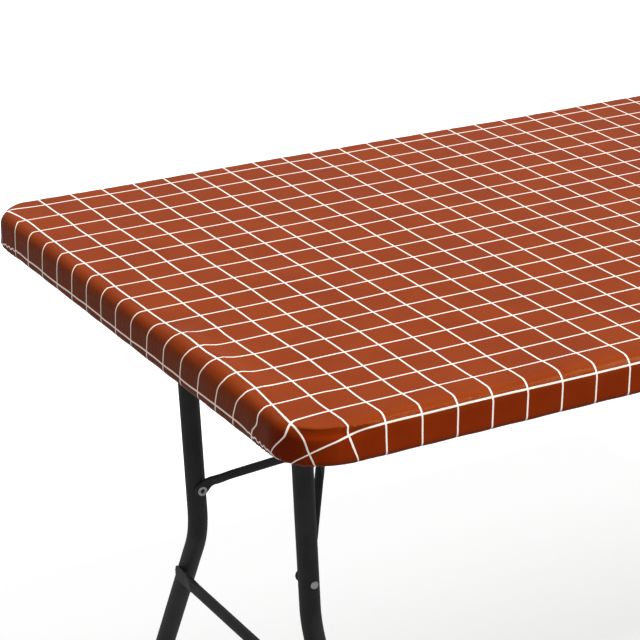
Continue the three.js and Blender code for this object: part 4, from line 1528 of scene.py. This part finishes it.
    def cross_brace(self) -> bpy.types.Object:
        """The brace across the legs: a round bar whose ends are pressed flat against them.

        The half thickness and half height pass smoothly from the round bar's to the flat pad's, and
        the section's squareness with them, about one straight axis.

        Returns:
            The brace.
        """
        thick, long, tall = self.brace_pad
        face = -(self.leg_radius + self.gap)
        reach = self.splay(self.brace_drop) + self.brace_past
        near_end = np.linspace(reach - self.brace_fine, reach, 40)
        y = np.unique(np.concatenate([np.linspace(-reach, reach, 60), near_end, -near_end[::-1]]))
        inward = reach - np.abs(y)
        flat = 1 - ramp(inward, long * 0.55, 30)
        end = np.sqrt(np.clip(1 - (1 - np.clip(inward / 2.5, 0, 1)) ** 2, 0.2, 1))
        half_x = self.brace_radius + (thick / 2 - self.brace_radius) * flat
        half_z = (self.brace_radius + (tall / 2 - self.brace_radius) * flat) * end
        section = rounded_section(np.stack([half_x, half_z], -1), 2 + 5 * flat, 32)
        points = np.stack([
            face - thick / 2 + section[..., 0],
            np.broadcast_to(y[:, None], section.shape[:2]),
            section[..., 1] - self.brace_drop,
        ], -1)
        faces = capped(*points.shape[:2])
        # Painted light: the brace wears the lighter copy of the powder coat.
        return self.add(self.node("cross_brace"), "pressed", points, faces, self.finishes.lit_copy_paint)

    def rivet(self, side: Side) -> bpy.types.Object:
        """A semi-tubular rivet: a domed head outside and a rolled open tail inside."""
        head, thick = self.rivet_head
        outside = self.leg_y + self.leg_radius + self.gap + thick
        tail_radius, tail, hole, deep = self.rivet_tail
        start, shank = self.rivet_inside, self.rivet_radius
        corners = [
            (0, start + deep), (hole, start + deep), (hole, start), (tail_radius, start),
            (tail_radius, start + tail), (shank, start + tail), (shank, outside - thick),
            (head, outside - thick), (head, outside), (0, outside),
        ]
        profile = rounded(corners, (0, 1.2, 1.0, 0.7, 0.2, 0, 0.4, 2.0), 6)
        profile = facing(profile, side.local(self.end))
        return self.add_turned(self.node("leg_rivet", side), "rolled", profile, "y", self.finishes.zinc,
                               (0, 0, -self.rivet_drop), 32)

    def build(self) -> None:
        """Makes every piece of this frame."""
        self.pivot_tube()
        self.cross_brace()
        for side in Side:
            self.leg(side)
            self.pivot_cap(side)
            self.foot_cap(side)
            self.rivet(side)


@dataclass
class Yoke(FoldingPart):
    """The two arms from the legs that meet beside the strut, with their rivets."""

    arm_y: float = 124.05
    strap_y: float = 10.5
    arm_radius: float = 5.5
    eye_radius: float = 8.4
    eye_half: float = 2.25
    eye_run: float = 15.0
    turn: float = math.radians(46.4)
    bend: float = 14.0
    tail: float = 20.0
    strap_half: tuple[float, float] = (2.0, 7.0)
    inner_face: float = 8.5

    def __post_init__(self) -> None:
        """Finds the arms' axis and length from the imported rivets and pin."""
        start, stop = self.at("leg_rivet", Side.NEAR), self.at("bracket_pin")
        joint = self.at("yoke_rivet", Side.NEAR)
        slope = math.atan2(stop[2] - start[2], start[0] - stop[0])
        self.place = Placement(-start[0], start[2], -slope, self.end)
        self.length = math.hypot(start[0] - joint[0], joint[2] - start[2])
        self.body = self.node("yoke")

    def arm(self, side: Side) -> bpy.types.Object:
        """One arm: an eye pressed flat on the leg, a round bar, and a flat strap beside the strut.

        The eye's half height follows a circle round the rivet and runs smoothly into the bar, and
        the strap's end is rounded in the same way. The section passes from flat to round and back.

        Returns:
            The arm.
        """
        meet = self.eye_run + (self.arm_y - self.strap_y) / math.tan(self.turn)
        last = self.length + self.tail
        corners = np.array([
            [-self.eye_radius, self.arm_y, 0], [self.eye_run, self.arm_y, 0],
            [meet, self.strap_y, 0], [last, self.strap_y, 0],
        ])
        path = divided(bent_path(corners, (self.bend, self.bend), 8), 1.5)
        x = path[:, 0]
        to_strap = ramp(x, meet - 26, 24)
        round_share = ramp(x, 9, 22) * (1 - to_strap)
        half_y = self.eye_half + (self.arm_radius - self.eye_half) * round_share
        thinning = np.interp(to_strap, [0, 1], [self.arm_radius, self.strap_half[0]])
        half_y = np.where(to_strap > 0, np.minimum(half_y, thinning), half_y)
        disc = np.sqrt(np.clip(self.eye_radius**2 - np.minimum(x, 0) ** 2, 0.4, None))
        half_z = disc + (self.arm_radius - disc) * ramp(x, 1, 24)
        half_z = half_z + (self.strap_half[1] - self.arm_radius) * to_strap
        half_z = half_z * np.sqrt(np.clip(1 - (np.clip(x - last + 7, 0, 6.9) / 7) ** 2, 0.02, 1))
        path[:, 1] += (self.eye_half - half_y) * (1 - ramp(x, 12, 30))
        path[:, 1] = np.maximum(path[:, 1], self.inner_face + half_y) * side.local(self.end)
        section = rounded_section(np.stack([half_y, half_z], -1), 2 + 4 * (1 - round_share), 28)
        points = carried(path, UP, section)
        return self.add(
            self.node("yoke_arm", side), "forged", points, capped(*points.shape[:2]), self.finishes.paint
        )

    def rivet(self, side: Side) -> bpy.types.Object:
        """The short rivet through the strap, with a domed head outside."""
        corners = [(0, 8.6), (2.5, 8.6), (2.5, 12.8), (5, 12.8), (5, 14.6), (0, 14.6)]
        profile = facing(rounded(corners, (0.3, 0, 0.3, 1.6), 5), side.local(self.end))
        return self.add_turned(self.node("yoke_rivet", side), "domed", profile, "y", self.finishes.zinc,
                               (self.length, 0, 0))

    def build(self) -> None:
        """Makes both arms and rivets."""
        for side in Side:
            self.arm(side)
            self.rivet(side)


@dataclass
class StrutAssembly(FoldingPart):
    """The strut, its bush, the lock ring on it and the pin it hangs on."""

    radius: float = 8.0
    wall: float = 1.4
    overrun: float = 10.0
    ring_half: tuple[float, float] = (13.5, 9.0)
    ring_corner: float = 3.0
    ring_wall: float = 2.5
    ring_length: float = 14.0

    def __post_init__(self) -> None:
        """Finds the strut's axis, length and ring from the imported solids."""
        pin, bush, ring = self.at("bracket_pin"), self.at("strut_bush"), self.at("lock_ring")
        slope = math.atan2(pin[2] - bush[2], bush[0] - pin[0])
        self.length = math.hypot(bush[0] - pin[0], pin[2] - bush[2])
        self.ring_at = math.hypot(ring[0] - pin[0], pin[2] - ring[2])
        self.place = Placement(-pin[0], pin[2], math.pi - slope, self.end)
        self.body = self.node("strut_assembly")

    def strut(self) -> bpy.types.Object:
        """The hollow strut."""
        outer, inner = self.radius, self.radius - self.wall
        start, stop = -self.overrun, self.length + self.overrun
        loop = [(outer, start), (outer, stop), (inner, stop), (inner, start)]
        return self.add_turned(
            self.node("strut"), "drawn", loop, "x", self.finishes.paint, sides=36, ring=True
        )

    def bush(self) -> bpy.types.Object:
        """The bush across the strut's lower end."""
        profile = rounded([(0, -8), (2.5, -8), (2.5, 8), (0, 8)], (0.3, 0.3))
        return self.add_turned(self.node("strut_bush"), "turned", profile, "y", self.finishes.zinc,
                               (self.length, 0, 0))

    def lock_ring(self) -> bpy.types.Object:
        """The lock ring: a flat section with soft edges, carried round a rounded rectangle."""
        grown = self.ring_wall / 2
        loop = rounded_rectangle(np.array(self.ring_half) + grown, self.ring_corner + grown,
                                 np.linspace(0, np.pi / 2, 9))
        path = np.concatenate([np.full((len(loop), 1), self.ring_at), loop], -1)
        section = rounded_section(np.array([[grown, self.ring_length / 2]]), np.array([7.0]), 24)[0]
        points = carried(path, np.array([1.0, 0, 0]), section, closed=True)
        return self.add(self.node("lock_ring"), "pressed", points, torus_faces(points), self.finishes.zinc,
                        body=self.node("ring"))

    def pin(self) -> bpy.types.Object:
        """The bracket's pin, with a head at each end."""
        corners = [(0, -12.8), (5, -12.8), (5, -10.8), (3, -10.8), (3, 10.8), (5, 10.8), (5, 12.8), (0, 12.8)]
        profile = rounded(corners, (1.2, 0.2, 0, 0, 0.2, 1.2))
        return self.add_turned(
            self.node("bracket_pin"), "headed", profile, "y", self.finishes.zinc, body="root"
        )

    def build(self) -> None:
        """Makes every piece of the strut."""
        self.strut()
        self.bush()
        self.lock_ring()
        self.pin()


# ---------------------------------------------------------------------------------------------
# The room


@dataclass(frozen=True)
class Studio:
    """A pale floor, soft lights and the camera."""

    position: tuple[float, float, float] = (-1.9920, -2.2226, 1.7480)
    azimuth: float = math.radians(-30.915)
    elevation: float = math.radians(22.508)
    roll: float = math.radians(0.987)
    lens: float = 134.38
    sensor: float = 36.0
    floor_half: float = 30.0
    floor_glow: float = 0.52
    sky: float = 0.3

    def camera(self) -> None:
        """The camera: turned about Z, tipped down from level and rolled about its own axis."""
        data = bpy.data.cameras.new("camera")
        data.lens, data.sensor_width = self.lens, self.sensor
        data.clip_end = 200
        seen = bpy.data.objects.new("camera", data)
        turn = Matrix.Rotation(self.azimuth, 4, "Z")
        tip = Matrix.Rotation(math.pi / 2 - self.elevation, 4, "X")
        roll = Matrix.Rotation(self.roll, 4, "Z")
        seen.matrix_world = Matrix.Translation(self.position) @ turn @ tip @ roll
        bpy.context.scene.collection.objects.link(seen)
        bpy.context.scene.camera = seen

    def floor(self) -> None:
        """A pale plain floor that lights nothing but itself."""
        h = self.floor_half / MM
        corners = np.array([[-h, -h, 0], [h, -h, 0], [h, h, 0], [-h, h, 0]])
        made = make_mesh("studio_floor", corners, [[0, 1, 2, 3]], turn_out=False)
        board = Board("studio_floor")
        grain = board.noise(board.place(), 6, 3)
        colour = board.shades(grain, [(0.3, (0.86, 0.86, 0.86)), (0.7, (0.87, 0.87, 0.87))])
        made.data.materials.append(board.surface(
            Base_Color=colour, Roughness=0.85, Specular_IOR_Level=0.1,
            Emission_Color=(1, 1, 1, 1), Emission_Strength=self.floor_glow,
        ))
        made.visible_diffuse = False
        made.visible_glossy = False

    def lamp(self, name: str, toward: tuple[float, float, float], strength: float, spread: float) -> None:
        """A wide soft light from far away.

        Args:
            name: The light's name.
            toward: The direction from the table to it.
            strength: Its strength in watts on a square metre.
            spread: The angle that it fills.
        """
        data = bpy.data.lights.new(name, "SUN")
        data.energy, data.angle = strength, spread
        lamp = bpy.data.objects.new(name, data)
        back = np.array(toward) / np.linalg.norm(toward)
        right = np.cross([0, 1.0, 0], back)
        right = right / np.linalg.norm(right)
        axes = np.stack([right, np.cross(back, right), back], -1)
        lamp.matrix_world = Matrix([[*row, 0] for row in axes] + [[0, 0, 0, 1]])
        bpy.context.scene.collection.objects.link(lamp)

    def build(self) -> None:
        """Makes the room."""
        scene = bpy.context.scene
        scene.view_settings.view_transform = "Standard"
        world = bpy.data.worlds.new("studio")
        world.use_nodes = True
        sky = world.node_tree.nodes["Background"]
        sky.inputs["Color"].default_value = (1, 1, 1, 1)
        sky.inputs["Strength"].default_value = self.sky
        scene.world = world
        self.camera()
        self.floor()
        self.lamp("key", (0.5, -0.46, 0.73), 2.75, math.radians(11))
        self.lamp("fill", (0.1, 0.3, 0.95), 0.9, math.radians(70))


def main() -> None:
    """Builds the room, the cover and the table, in that order."""
    logging.basicConfig(level=logging.INFO, format="%(message)s")
    Studio().build()
    finishes = Finishes()
    cover = FittedCover(finishes)
    sheet = cover.build()
    hem = GatheredHem(finishes)
    pieces = [hem.casing(), hem.elastic(), hem.stitches()]
    TableTop(finishes).build()
    for end in End:
        LegFrame(finishes, end).build()
        Yoke(finishes, end).build()
        StrutAssembly(finishes, end).build()
    flat, area = cover.flat_size()


if __name__ == "__main__":
    main()
